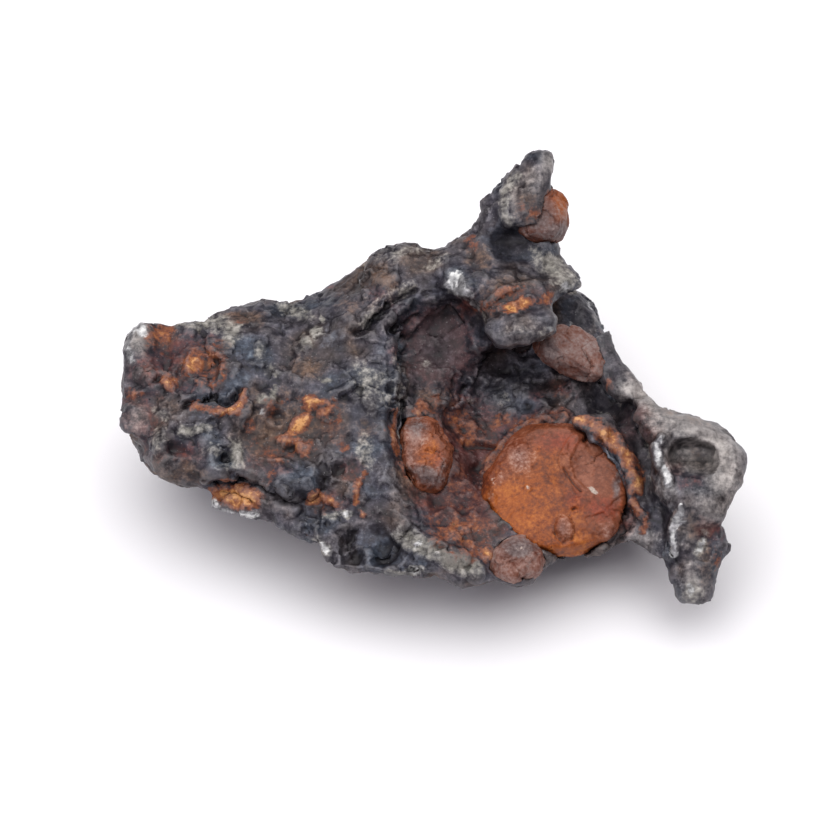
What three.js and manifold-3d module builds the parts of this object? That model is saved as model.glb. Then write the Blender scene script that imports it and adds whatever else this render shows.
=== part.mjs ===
// A small iron meteorite with weathered olivine grains: a lumpy iron-nickel mass with a horn, a drooping
// leg and a pitted face, and five mineral grains that sit in sockets of their own.
// Millimetres, +Z up. The origin is the middle of the footprint, on the surface that the piece rests on.
import * as THREE from "three";
import { mergeVertices } from "three/addons/utils/BufferGeometryUtils.js";
import Module from "manifold-3d";

const wasm = await Module();
wasm.setup();

// ---- Driving dimensions ----
// A place on the stone is [across, up, out]. Across and up lie square to a viewer who looks down on the
// face from the front; out is the height over the face's mean plane, which falls away towards the back.
const viewerElevation = 50;
const faceFall = 0.45;
const faceHeight = 12;
const latticeCell = 1.24;
const socketGap = 0.36;
const ironColour = 0x4d4f55;
const grainColour = 0xa4551f;

// ---- The frame of the face ----
const lean = THREE.MathUtils.degToRad(90 - viewerElevation);
const outwards = new THREE.Vector3(0, -Math.sin(lean), Math.cos(lean));
const upwards = new THREE.Vector3(0, Math.cos(lean), Math.sin(lean));
const upTheFace = upwards.clone().addScaledVector(outwards, -faceFall);
const faceToRest = new THREE.Matrix4()
  .makeBasis(new THREE.Vector3(1, 0, 0), upTheFace, outwards)
  .setPosition(0, 0, faceHeight);

// ---- Noise ----
// A repeatable number from 0 to 1 for a lattice corner.
function cornerValue(x, y, z) {
  const n = Math.sin(x * 127.1 + y * 311.7 + z * 74.7) * 43758.5453;
  return n - Math.floor(n);
}

// Smooth noise from -1 to 1 with features about one unit wide.
function smoothNoise(x, y, z) {
  const cell = [Math.floor(x), Math.floor(y), Math.floor(z)];
  const ease = [x - cell[0], y - cell[1], z - cell[2]].map((t) => t * t * (3 - 2 * t));
  let total = 0;
  for (let corner = 0; corner < 8; corner += 1) {
    const step = [corner & 1, (corner >> 1) & 1, (corner >> 2) & 1];
    const share = step.reduce((product, s, axis) => product * (s ? ease[axis] : 1 - ease[axis]), 1);
    total += share * cornerValue(cell[0] + step[0], cell[1] + step[1], cell[2] + step[2]);
  }
  return 2 * total - 1;
}

// ---- Forms: each gives the distance from a point to its surface, negative inside ----
function lump(at, size, turn = 0) {
  const angle = THREE.MathUtils.degToRad(turn);
  const [cos, sin] = [Math.cos(angle), Math.sin(angle)];
  return (x, y, z) => {
    const dx = x - at[0];
    const dy = y - at[1];
    const a = (dx * cos + dy * sin) / size[0];
    const b = (dy * cos - dx * sin) / size[1];
    const c = (z - at[2]) / size[2];
    const reach = Math.hypot(a, b, c);
    const slope = Math.hypot(a / size[0], b / size[1], c / size[2]);
    return slope > 0 ? (reach * (reach - 1)) / slope : -Math.min(...size);
  };
}

// A tapered bar between two balls, each [across, up, out, radius].
function bar(from, to) {
  const run = [0, 1, 2].map((axis) => to[axis] - from[axis]);
  const length2 = run.reduce((sum, d) => sum + d * d, 0);
  return (x, y, z) => {
    const off = [x - from[0], y - from[1], z - from[2]];
    const along = (off[0] * run[0] + off[1] * run[1] + off[2] * run[2]) / length2;
    const t = THREE.MathUtils.clamp(along, 0, 1);
    const gap = Math.hypot(off[0] - t * run[0], off[1] - t * run[1], off[2] - t * run[2]);
    return gap - THREE.MathUtils.lerp(from[3], to[3], t);
  };
}

// A chain of bars through several balls.
function ridge(...balls) {
  return balls.slice(1).map((ball, i) => bar(balls[i], ball));
}

function smoothUnion(a, b, blend) {
  const h = Math.max(blend - Math.abs(a - b), 0) / blend;
  return Math.min(a, b) - (h * h * blend) / 4;
}

// ---- The iron mass ----
const bodyBlend = 2.2;
const bodyForms = [
  // the broad left plate
  lump([-18.8, -1.8, -4.4], [5.9, 6.1, 4.4]),
  lump([-13.3, -2.0, -5.2], [7.4, 7.9, 5.0]),
  lump([-7.2, -3.4, -5.6], [7.4, 8.9, 5.4]),
  lump([-3.4, -8.4, -5.0], [6.4, 6.2, 5.0]),
  lump([-20.2, -5.4, -3.6], [2.6, 2.2, 2.6], -20),
  // the crest along the back
  lump([-12.4, 3.2, -4.2], [7.6, 2.4, 3.4], 6),
  lump([-6.4, 4.6, -4.0], [4.6, 3.0, 3.8], 38),
  lump([-2.6, 7.2, -3.4], [3.2, 3.2, 3.2]),
  lump([3.0, 5.8, -4.6], [5.4, 4.6, 4.6]),
  // the floor of the hollow on the right, and what carries it
  lump([7.2, -5.2, -8.4], [10.2, 8.6, 4.3]),
  lump([9.4, -10.8, -6.6], [6.8, 2.7, 4.0]),
  lump([3.4, -12.4, -4.6], [4.8, 2.6, 3.2]),
  lump([6.4, -13.4, -3.4], [2.6, 2.0, 2.0]),
  lump([0.2, 1.6, -6.8], [4.4, 4.4, 3.8]),
  lump([11.6, -7.6, -7.8], [5.4, 5.4, 4.4]),
  lump([9.4, 3.0, -6.8], [5.0, 5.0, 4.2]),
  // the three feet
  lump([-12.3, -5.0, -9.8], [5.2, 4.8, 4.4]),
  lump([13.4, -5.4, -10.8], [4.0, 4.2, 4.0]),
  lump([1.2, -10.8, -8.8], [4.6, 3.8, 4.4]),
];

const detailBlend = 1.0;
const hornForms = [
  ...ridge([6.0, 9.2, -2.6, 3.2], [6.8, 11.4, -1.4, 2.9], [7.4, 13.9, -0.6, 2.5]),
  ...ridge([7.4, 13.9, -0.4, 2.2], [8.3, 16.3, 0.6, 1.35], [8.6, 17.4, 0.9, 1.25]),
  bar([5.6, 13.6, -0.6, 0.9], [4.3, 14.0, -0.4, 0.5]),
  bar([8.8, 13.8, -0.4, 1.0], [9.9, 14.4, -0.6, 0.8]),
  ...ridge([-1.0, 8.9, -2.4, 1.2], [1.8, 9.0, -2.2, 1.3], [4.2, 11.2, -1.8, 1.4]),
  lump([9.0, 10.6, -2.2], [1.6, 1.4, 1.6]),
];

const browForms = [
  // two swellings with a cleft between them, and the bright ridge at their left
  lump([6.3, 6.8, 0.0], [3.9, 1.9, 2.1], -4),
  lump([6.9, 4.2, 1.2], [3.5, 1.7, 2.1], 8),
  ...ridge([1.7, 8.6, -0.8, 0.9], [2.2, 6.6, 0.0, 1.2], [3.8, 4.8, -0.4, 0.9]),
  lump([10.6, 7.3, -1.4], [2.7, 1.3, 1.6], -40),
];

const wallForms = [
  ...ridge([9.6, 9.0, -2.4, 1.4], [12.1, 6.8, -2.2, 1.2], [13.2, 4.2, -2.2, 1.2], [13.5, 1.8, -2.2, 1.2]),
  ...ridge([13.5, 1.8, -2.2, 1.2], [15.3, -0.7, -1.6, 1.2], [16.6, -2.7, -0.6, 1.4]),
];

const lobeForms = [
  ...ridge([16.6, -2.8, -0.4, 1.4], [19.7, -4.7, 0.4, 1.7], [22.2, -6.1, 0.4, 1.6], [23.7, -6.5, 0, 1.0]),
  lump([20.6, -6.9, -0.6], [3.5, 3.2, 2.2]),
  ...ridge([17.8, -3.8, 0.3, 0.9], [18.2, -6.4, 0.6, 0.9], [19.4, -8.8, 0.4, 1.0]),
  ...ridge([22.4, -7.6, 0, 1.5], [21.3, -10.3, -0.8, 1.4], [21.1, -13.2, -2.0, 1.5]),
  bar([21.1, -13.2, -2.0, 1.5], [20.4, -16.7, -3.8, 1.3]),
  ...ridge([19.6, -10.2, -0.6, 0.9], [19.4, -12.6, -1.4, 0.9], [19.8, -15.0, -3.0, 1.0]),
  bar([21.8, -12.7, -1.6, 0.9], [22.1, -13.0, -1.6, 0.7]),
  // the web between the lobe and the hollow
  lump([17.2, -7.2, -4.6], [2.4, 6.2, 3.4], 5),
  ...ridge([16.6, -11.4, -3.6, 1.4], [19.8, -13.8, -3.4, 1.2]),
];

const rimForms = [
  // the swollen left side of the hollow
  lump([-5.4, -2.0, -2.4], [2.6, 5.8, 3.2], 4),
  ...ridge([-3.4, 6.0, -1.2, 1.4], [-4.4, 3.0, -0.9, 1.2], [-3.6, -1.0, -0.6, 1.1], [-3.9, -4.2, -0.7, 1.1]),
  ...ridge([-3.9, -4.2, -0.7, 1.1], [-3.5, -7.5, -0.9, 1.1], [-2.4, -10.8, -1.2, 1.1]),
  // the front edge, in two strands
  ...ridge([-2.4, -10.8, -1.2, 1.1], [0.2, -13.4, -1.4, 1.0], [3.4, -14.8, -1.6, 0.9]),
  ...ridge([-9.2, -11.8, -1.8, 1.2], [-6.8, -14.3, -1.6, 1.0], [-1.4, -14.6, -1.6, 0.9]),
  bar([-1.4, -14.6, -1.6, 0.9], [3.4, -15.6, -2.0, 0.9]),
  ...ridge([3.4, -15.2, -2.0, 1.0], [6.8, -15.1, -2.4, 1.1], [8.0, -13.9, -2.8, 1.0]),
  ...ridge([8.0, -13.5, -3.0, 1.0], [12.8, -13.0, -3.6, 1.0], [16.4, -11.5, -3.6, 1.0]),
  // the lip that half rings the large grain
  ...ridge([11.0, -2.8, -1.9, 0.7], [13.4, -4.2, -1.5, 0.75], [15.2, -6.4, -1.5, 0.75]),
  bar([15.2, -6.4, -1.5, 0.75], [16.3, -9.4, -1.9, 0.75]),
];

const plateForms = [
  // knobs and swellings of the left plate
  ...ridge([-23.2, 3.8, -1.4, 0.8], [-23.3, 2.2, -1.6, 1.1], [-23.6, 0.0, -1.8, 1.2]),
  bar([-23.6, 0.0, -1.8, 1.2], [-23.7, -2.6, -2.0, 1.3]),
  ...ridge([-23.0, 3.0, -2.6, 1.0], [-19.6, 3.4, -2.6, 1.3], [-16.4, 4.2, -2.8, 1.3]),
  lump([-22.2, 0.2, -0.7], [1.1, 1.1, 1.0]),
  ...ridge([-23.2, -3.8, -1.5, 1.2], [-20.4, -3.7, -0.9, 1.1], [-16.8, -4.0, -0.8, 0.9]),
  lump([-17.3, -6.3, -0.8], [1.9, 1.4, 1.4], -15),
  lump([-20.6, -6.0, -1.4], [1.6, 1.2, 1.3], 20),
  ...ridge([-21.4, -6.2, -2.6, 0.9], [-19.2, -7.2, -2.6, 0.9], [-17.0, -9.6, -2.6, 0.9]),
  ...ridge([-17.0, -9.6, -2.6, 0.9], [-14.0, -9.9, -2.6, 1.1], [-10.4, -11.2, -2.2, 1.2]),
  ...ridge([-14.2, -6.6, -0.9, 0.9], [-10.6, -8.0, -0.8, 1.0], [-7.4, -6.8, -0.9, 0.9]),
  // the diagonal swelling that climbs to the crest
  lump([-5.4, 5.6, -1.4], [4.4, 1.5, 2.0], 40),
  lump([-2.9, 9.3, -2.2], [2.4, 1.5, 1.8]),
];

const pitBlend = 0.9;
const pitForms = [
  // the hollow beside the left rim, and the deeper one under the brow
  lump([2.8, -4.0, -0.2], [4.2, 7.4, 2.9], 8),
  lump([-1.2, -5.4, -0.2], [1.8, 4.6, 1.7], 10),
  lump([1.2, 3.4, 0.6], [3.6, 3.4, 3.2], 25),
  lump([8.4, 0.6, -1.2], [4.4, 3.0, 3.6], -10),
  // the hole inside the right wall
  lump([11.8, 5.0, -1.6], [1.5, 1.9, 2.8], 25),
  // the cleft between the two swellings of the brow
  bar([4.2, 5.4, 2.4, 0.7], [8.6, 6.0, 2.2, 0.7]),
  // the trench between the large grain's lip and the lobe
  bar([14.8, -2.4, -0.7, 1.0], [16.5, -6.0, -0.7, 1.0]),
  bar([16.5, -6.0, -0.7, 1.0], [17.2, -10.2, -1.5, 0.9]),
  // the pocket of the lobe and the hollow of the leg
  lump([20.5, -6.4, 2.0], [2.5, 1.8, 2.0], -5),
  lump([21.1, -13.6, 0.3], [0.9, 1.7, 1.2]),
  // the recess below the horn
  lump([6.3, 10.6, 1.1], [2.6, 1.5, 1.9], -10),
  // hollows of the left plate
  lump([-18.9, 0.9, 0.8], [3.3, 2.2, 1.8], -6),
  lump([-11.2, -3.2, 0.9], [3.5, 3.0, 1.7]),
  lump([-6.4, -14.0, -0.4], [1.0, 0.9, 1.1]),
  lump([-3.6, -13.0, -0.2], [1.2, 1.1, 1.2]),
  lump([-16.2, -8.8, 0.2], [1.7, 0.9, 1.3]),
  // empty sockets on the underside and the back
  lump([-6.6, -7.6, -11.6], [3.2, 2.8, 3.0]),
  lump([7.0, -4.0, -13.2], [3.6, 3.2, 3.0], 20),
  lump([-18.0, -1.6, -9.6], [2.8, 3.0, 3.0]),
  lump([0.6, 2.4, -11.6], [3.4, 2.8, 3.2]),
  lump([13.6, 1.0, -10.4], [2.8, 2.6, 3.0]),
  lump([-10.4, 5.6, -8.4], [3.4, 2.6, 2.8]),
  lump([19.2, -8.8, -5.0], [2.0, 2.8, 2.4]),
  lump([3.6, 10.6, -6.4], [2.6, 2.2, 2.6]),
  lump([-12.6, -10.6, -6.8], [2.8, 2.0, 2.4]),
  lump([9.8, -11.8, -10.6], [2.8, 2.2, 2.2]),
  lump([-2.4, -14.4, -5.6], [2.6, 1.8, 2.4]),
];

const detailForms = [...hornForms, ...browForms, ...wallForms, ...lobeForms, ...rimForms, ...plateForms];
const farAway = 50;

// Wide swells, and smaller bumps on them: [size, depth]
const swells = [4.6, 0.5];
const bumps = [2.3, 0.22];

// Distance to the skin of the iron mass, before the sockets and the feet are cut.
function ironField(x, y, z) {
  let d = bodyForms.reduce((sum, form) => smoothUnion(sum, form(x, y, z), bodyBlend), farAway);
  d = detailForms.reduce((sum, form) => smoothUnion(sum, form(x, y, z), detailBlend), d);
  d = pitForms.reduce((sum, form) => -smoothUnion(-sum, form(x, y, z), pitBlend), d);
  for (const [size, depth] of [swells, bumps]) {
    d += depth * smoothNoise(x / size, y / size, z / size);
  }
  return d;
}

// ---- The skin of a field ----
// The field is sampled on a lattice. Each sheet of skin in a cell gets one vertex, and each lattice edge that
// the skin crosses gets the quad of the four cells round it.
const cellCorners = [...Array(8).keys()].map((c) => [c & 1, (c >> 1) & 1, (c >> 2) & 1]);
const cellEdges = [0, 1, 2].flatMap((axis) =>
  cellCorners.filter((corner) => !corner[axis]).map((corner) => ({ corner, axis })),
);
const cellFaces = [0, 1, 2].flatMap((axis) => [0, 1].map((side) => ({ axis, side })));

// The corner one step along an axis.
function stepped(corner, axis) {
  return corner.map((s, x) => (x === axis ? s + 1 : s));
}

// The crossed edges of one cell, grouped so that each group lies on one sheet of skin.
function sheetsOf(crossed, isInside) {
  const group = new Map(crossed.map((edge) => [edge, edge]));
  const join = (a, b) => {
    const [from, to] = [group.get(a), group.get(b)];
    for (const [edge, leader] of group) {
      if (leader === from) group.set(edge, to);
    }
  };
  for (const { axis, side } of cellFaces) {
    const onFace = crossed.filter((edge) => edge.axis !== axis && edge.corner[axis] === side);
    if (onFace.length === 2) join(...onFace);
    if (onFace.length !== 4) continue;
    // two opposite corners are inside: each keeps a sheet of its own
    for (const corner of cellCorners.filter((c) => c[axis] === side && isInside(c))) {
      const ends = (edge) => [edge.corner, stepped(edge.corner, edge.axis)];
      join(...onFace.filter((edge) => ends(edge).some((end) => `${end}` === `${corner}`)));
    }
  }
  const leaders = [...new Set(group.values())];
  return leaders.map((leader) => crossed.filter((edge) => group.get(edge) === leader));
}

// A point near the skin, moved onto it by no more than a quarter of a cell.
function ontoSkin(field, point, cell) {
  const step = 0.2 * cell;
  const leastSlope = 0.3;
  const slope = point.map((p, axis) => {
    const ahead = point.map((q, x) => (x === axis ? q + step : q));
    const behind = point.map((q, x) => (x === axis ? q - step : q));
    return (field(...ahead) - field(...behind)) / (2 * step);
  });
  const steep = Math.max(Math.hypot(...slope), leastSlope);
  const limit = 0.25 * cell;
  const move = THREE.MathUtils.clamp(field(...point) / steep, -limit, limit);
  return point.map((p, axis) => p - (move * slope[axis]) / steep);
}

function skinOf(field, low, high, cell) {
  const count = low.map((value, axis) => Math.ceil((high[axis] - value) / cell) + 1);
  const index = ([i, j, k]) => (k * count[1] + j) * count[0] + i;
  const total = count[0] * count[1] * count[2];
  const value = new Float64Array(total);
  const everyCell = [];
  for (let k = 0; k < count[2]; k += 1)
    for (let j = 0; j < count[1]; j += 1)
      for (let i = 0; i < count[0]; i += 1) {
        value[index([i, j, k])] = field(low[0] + i * cell, low[1] + j * cell, low[2] + k * cell);
        if ([i, j, k].every((n, axis) => n < count[axis] - 1)) everyCell.push([i, j, k]);
      }

  const position = [];
  const vertexOn = new Map();
  const edgeKey = (start, axis, from) => (index(start) * 3 + axis) * total + index(from);
  for (const start of everyCell) {
    const at = (corner) => index(start.map((s, axis) => s + corner[axis]));
    const isInside = (corner) => value[at(corner)] < 0;
    const crossed = cellEdges.filter((e) => isInside(e.corner) !== isInside(stepped(e.corner, e.axis)));
    if (!crossed.length) continue;
    for (const sheet of sheetsOf(crossed, isInside)) {
      const middle = [0, 0, 0];
      for (const { corner, axis } of sheet) {
        const [here, next] = [value[at(corner)], value[at(stepped(corner, axis))]];
        const share = here / (here - next);
        corner.forEach((s, x) => (middle[x] += (s + (x === axis ? share : 0)) / sheet.length));
        const onLattice = start.map((s, x) => s + corner[x]);
        vertexOn.set(edgeKey(onLattice, axis, start), position.length / 3);
      }
      const point = middle.map((m, axis) => low[axis] + (start[axis] + m) * cell);
      position.push(...ontoSkin(field, point, cell));
    }
  }

  const triangles = [];
  const vertexAt = (n) => new THREE.Vector3().fromArray(position, 3 * n);
  for (const from of everyCell)
    for (let axis = 0; axis < 3; axis += 1) {
      const inside = value[index(from)] < 0;
      if (inside === value[index(stepped(from, axis))] < 0) continue;
      const [p, q] = [(axis + 1) % 3, (axis + 2) % 3];
      const back = (point, side) => point.map((s, x) => (x === side ? s - 1 : s));
      const around = [from, back(from, p), back(back(from, p), q), back(from, q)];
      const ring = around.map((start) => vertexOn.get(edgeKey(from, axis, start)));
      if (!inside) ring.reverse();
      const [a, b, c, d] = ring.map(vertexAt);
      if (b.distanceTo(d) < a.distanceTo(c)) ring.unshift(ring.pop());
      triangles.push(ring[0], ring[1], ring[2], ring[0], ring[2], ring[3]);
    }

  const geometry = new THREE.BufferGeometry();
  geometry.setAttribute("position", new THREE.Float32BufferAttribute(position, 3));
  return geometry.setIndex(triangles);
}

// ---- Solids ----
function toSolid(geometry) {
  const bare = geometry.clone();
  bare.deleteAttribute("normal");
  bare.deleteAttribute("uv");
  const merged = mergeVertices(bare, 1e-4);
  const vertProperties = merged.attributes.position.array;
  const triVerts = new Uint32Array(merged.index.array);
  return new wasm.Manifold(new wasm.Mesh({ numProp: 3, vertProperties, triVerts }));
}

function toMesh(solid, name, colour, metalness, roughness) {
  const { vertProperties, triVerts } = solid.getMesh();
  const geometry = new THREE.BufferGeometry();
  geometry.setAttribute("position", new THREE.BufferAttribute(vertProperties, 3));
  geometry.setIndex(new THREE.BufferAttribute(triVerts, 1));
  const flat = geometry.toNonIndexed();
  flat.computeVertexNormals();
  const material = new THREE.MeshStandardMaterial({ color: colour, metalness, roughness, flatShading: true });
  const mesh = new THREE.Mesh(flat, material);
  mesh.name = name;
  return mesh;
}

// ---- Olivine grains ----
// A grain is an uneven ellipsoid, cut by broken faces: each has a direction and how far out it lies, both
// in the grain's half sizes.
const grains = [
  {
    name: "olivine_grain_large",
    at: [9.5, -8.9, -2.7],
    size: [5.45, 5.2, 3.0],
    turn: -12,
    detail: 5,
    faces: [
      [0.05, 0.1, 1, 0.48],
      [-0.25, 0.05, 1, 0.52],
      [-0.85, 0.5, 0.1, 0.86],
      [-0.35, -0.9, 0.2, 0.9],
      [0.4, -0.9, 0.15, 0.92],
      [0.2, 1, 0.1, 0.93],
    ],
  },
  {
    name: "olivine_grain_oval",
    at: [-0.6, -6.0, -1.9],
    size: [1.8, 2.9, 1.7],
    turn: 15,
    detail: 3,
    faces: [
      [0.15, 0.1, 1, 0.6],
      [-0.9, 0.3, 0.3, 0.86],
      [0.8, -0.6, 0.2, 0.86],
      [0.3, 1, 0.2, 0.86],
    ],
  },
  {
    name: "olivine_grain_under_brow",
    at: [11.2, 2.1, -2.1],
    size: [3.0, 1.65, 1.7],
    turn: -30,
    detail: 3,
    faces: [
      [0, 0.2, 1, 0.62],
      [0.9, 0.3, 0.2, 0.82],
      [-0.9, 0.4, 0, 0.82],
      [0.2, -0.9, 0.5, 0.74],
    ],
  },
  {
    name: "olivine_grain_front",
    at: [6.5, -14.3, -1.5],
    size: [1.9, 1.5, 1.5],
    turn: 0,
    detail: 2,
    faces: [
      [0.2, 0, 1, 0.7],
      [-0.8, 0.5, 0.3, 0.82],
      [0.3, -0.9, 0.4, 0.82],
    ],
  },
  {
    name: "olivine_grain_horn",
    at: [8.9, 13.1, -0.1],
    size: [1.9, 2.1, 1.8],
    turn: 15,
    detail: 3,
    faces: [
      [-0.2, 0, 1, 0.66],
      [0.8, -0.5, 0.3, 0.86],
      [-0.3, -1, 0.2, 0.86],
    ],
  },
];
const grainNoiseSize = 2.6;
const grainNoiseDepth = 0.09;
const faceRounding = 0.16;

// How far out the skin of a grain lies in a direction, in half sizes.
function grainReach(direction, faces) {
  return faces.reduce((reach, [x, y, z, distance]) => {
    const facing = direction.dot(new THREE.Vector3(x, y, z).normalize());
    return facing > 0 ? smoothUnion(reach, distance / facing, faceRounding) : reach;
  }, 1);
}

// A grain, or with a gap its socket, which is the same form larger all round.
function grainGeometry({ at, size, turn, detail, faces }, gap) {
  const geometry = new THREE.IcosahedronGeometry(1, detail);
  const points = geometry.attributes.position;
  const point = new THREE.Vector3();
  for (let i = 0; i < points.count; i += 1) {
    point.fromBufferAttribute(points, i).normalize();
    const rough = smoothNoise(...point.clone().multiplyScalar(grainNoiseSize).add(new THREE.Vector3(...at)));
    point.multiplyScalar(grainReach(point, faces) * (1 + grainNoiseDepth * rough));
    points.setXYZ(i, point.x * (size[0] + gap), point.y * (size[1] + gap), point.z * (size[2] + gap));
  }
  geometry.rotateZ(THREE.MathUtils.degToRad(turn));
  geometry.translate(...at);
  return geometry.applyMatrix4(faceToRest);
}

// ---- Assembly ----
const latticeLow = [-28, -22, -20];
const latticeHigh = [29, 22, 8];
const floorReach = 80;

let iron = toSolid(skinOf(ironField, latticeLow, latticeHigh, latticeCell).applyMatrix4(faceToRest));
const grainSolids = grains.map((grain) => toSolid(grainGeometry(grain, 0)));
for (const grain of grains) iron = iron.subtract(toSolid(grainGeometry(grain, socketGap)));
const below = new THREE.BoxGeometry(floorReach, floorReach, floorReach).translate(0, 0, -floorReach / 2);
iron = iron.subtract(toSolid(below));
// a cut can free a fleck at a thin rim; only the mass itself is kept
iron = iron.decompose().reduce((largest, piece) => (piece.volume() > largest.volume() ? piece : largest));

const meteorite = new THREE.Group();
meteorite.add(toMesh(iron, "iron_mass", ironColour, 0.7, 0.5));
grains.forEach((grain, i) => meteorite.add(toMesh(grainSolids[i], grain.name, grainColour, 0, 0.45)));

const box = new THREE.Box3().setFromObject(meteorite);
const middle = box.getCenter(new THREE.Vector3());
meteorite.position.set(-middle.x, -middle.y, -box.min.z);

export default meteorite;
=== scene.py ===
import math
import bmesh
import bpy
import numpy as np
from mathutils import Matrix, Vector


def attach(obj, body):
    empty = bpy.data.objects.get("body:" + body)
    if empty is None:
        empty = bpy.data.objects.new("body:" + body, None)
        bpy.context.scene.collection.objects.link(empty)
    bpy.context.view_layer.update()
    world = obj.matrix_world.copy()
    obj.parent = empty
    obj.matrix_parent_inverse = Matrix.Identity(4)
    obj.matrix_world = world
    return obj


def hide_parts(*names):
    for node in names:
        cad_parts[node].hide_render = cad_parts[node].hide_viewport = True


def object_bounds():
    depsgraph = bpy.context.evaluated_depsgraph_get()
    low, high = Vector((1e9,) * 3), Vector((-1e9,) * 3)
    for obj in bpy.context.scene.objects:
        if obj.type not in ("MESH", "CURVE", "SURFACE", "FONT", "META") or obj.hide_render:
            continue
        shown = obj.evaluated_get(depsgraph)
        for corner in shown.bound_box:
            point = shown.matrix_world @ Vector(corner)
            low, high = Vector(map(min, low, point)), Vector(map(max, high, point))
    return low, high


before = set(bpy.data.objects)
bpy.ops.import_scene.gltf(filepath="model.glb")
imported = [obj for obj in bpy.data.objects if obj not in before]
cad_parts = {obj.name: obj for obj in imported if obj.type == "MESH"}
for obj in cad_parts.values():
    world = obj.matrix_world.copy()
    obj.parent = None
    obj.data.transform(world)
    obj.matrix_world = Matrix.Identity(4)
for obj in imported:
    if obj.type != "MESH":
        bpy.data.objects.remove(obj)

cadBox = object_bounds()
mm = 0.001  # the scene is in metres, the shaping below is in millimetres
boxLow, boxHigh = (np.array(corner) / mm for corner in cadBox)

# The pitted face: marks on it are placed by how far across and up they lie,
# looking straight along its line of sight.
face = {
    "middle": (0.083, -1.412, 12.0),
    "lift": 50,  # degrees the line of sight stands above the floor
    "distance": 400,
    "aim": (-1.59, -2.78),  # across and up, where the line of sight meets the face
    "pictureWidth": 65.56,  # how much of the face's plane the picture takes in
    "cell": 0.4,  # mm between the places where what hides what is looked up
    "cellsAside": 400,
    "cellMargin": 40,  # mm to the left of and below the middle that the places reach
    "hidden": (-1.8, -0.9),  # mm behind the nearest surface, from hidden to shown
    "facing": (-0.1, 0.25),  # how squarely a shown surface faces the viewer
}
lift = math.radians(face["lift"])
middle = np.array(face["middle"])
across = np.array([1.0, 0.0, 0.0])
up = np.array([0.0, math.sin(lift), math.cos(lift)])
out = np.array([0.0, -math.cos(lift), math.sin(lift)])


def ease(value, low=0.0, high=1.0):
    share = np.clip((value - low) / (high - low), 0, 1)
    return share * share * (3 - 2 * share)


def latticeHash(cell, seed):
    mixed = cell[:, 0] * 374761393 + cell[:, 1] * 668265263 + cell[:, 2] * 1442695041
    mixed = (mixed + seed * 974711) & 0xFFFFFFFF
    mixed = ((mixed ^ (mixed >> 13)) * 1274126177) & 0xFFFFFFFF
    return mixed ^ (mixed >> 16)


def threeFrom(hashed):
    return np.stack([(hashed >> shift) & 1023 for shift in (0, 10, 20)], 1) / 1023.0


def softNoise(points, size, seed):
    # gradient noise, about -1 to 1, with bumps about one size across
    scaled = points / size + seed * 7.31
    cell = np.floor(scaled).astype(np.int64)
    part = scaled - cell
    fade = part ** 3 * (part * (part * 6 - 15) + 10)
    total = np.zeros(len(points))
    for corner in np.ndindex(2, 2, 2):
        lean = threeFrom(latticeHash(cell + corner, seed)) * 2 - 1
        share = np.prod(np.where(corner, fade, 1 - fade), axis=1)
        total += share * ((part - corner) * lean).sum(1)
    return total * 1.6


def layeredNoise(points, size, seed, layers=4):
    total = sum(softNoise(points, size / 2 ** i, seed + i) / 2 ** i for i in range(layers))
    return total / 1.6


def cellNoise(points, size, seed):
    # distance to the nearest of scattered points, 0 at a point and about 1 far from all
    scaled = points / size + seed * 3.17
    cell = np.floor(scaled).astype(np.int64)
    nearest = np.full(len(points), 9.0)
    for step in np.ndindex(3, 3, 3):
        other = cell + np.array(step) - 1
        seedPoint = other + 0.1 + 0.8 * threeFrom(latticeHash(other, seed))
        nearest = np.minimum(nearest, ((seedPoint - scaled) ** 2).sum(1))
    return np.sqrt(nearest)


def plateNoise(points, size, seed):
    # broken plates: each scattered point owns the space round it, with a level and a lean of its own
    scaled = points / size + seed * 5.03
    cell = np.floor(scaled).astype(np.int64)
    nearest = np.full(len(points), 9.0)
    level = np.zeros(len(points))
    for step in np.ndindex(3, 3, 3):
        other = cell + np.array(step) - 1
        offset = scaled - other - 0.1 - 0.8 * threeFrom(latticeHash(other, seed))
        lean = threeFrom(latticeHash(other, seed + 1)) * 2 - 1
        distance = (offset ** 2).sum(1)
        closer = distance < nearest
        level = np.where(closer, 0.5 * lean[:, 0] + (offset * lean).sum(1), level)
        nearest = np.minimum(nearest, distance)
    return level


def wandering(points, size, amount, seed):
    # the points, each moved a little by noise, so that what is drawn from them wavers
    moves = [layeredNoise(points, size, seed + 5 * i, 3) for i in range(3)]
    return points + amount * np.stack(moves, 1)


def changed(mesh, kind, **settings):
    # the mesh as one modifier leaves it
    holder = bpy.data.objects.new("holder", mesh)
    bpy.context.scene.collection.objects.link(holder)
    modifier = holder.modifiers.new(kind, kind)
    for name, value in settings.items():
        setattr(modifier, name, value)
    graph = bpy.context.evaluated_depsgraph_get()
    result = bpy.data.meshes.new_from_object(holder.evaluated_get(graph))
    bpy.data.objects.remove(holder)
    bpy.data.meshes.remove(mesh)
    return result


def netFrom(mesh):
    # a mesh's points, faces and edges as arrays
    points = np.empty(len(mesh.vertices) * 3)
    mesh.vertices.foreach_get("co", points)
    corners = np.empty(len(mesh.loops), int)
    mesh.loops.foreach_get("vertex_index", corners)
    edges = np.empty(len(mesh.edges) * 2, int)
    mesh.edges.foreach_get("vertices", edges)
    return {
        "mesh": mesh, "points": points.reshape(-1, 3),
        "faces": corners.reshape(len(mesh.polygons), -1), "edges": edges.reshape(-1, 2),
        "around": np.bincount(edges, minlength=len(mesh.vertices)),
    }


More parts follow.
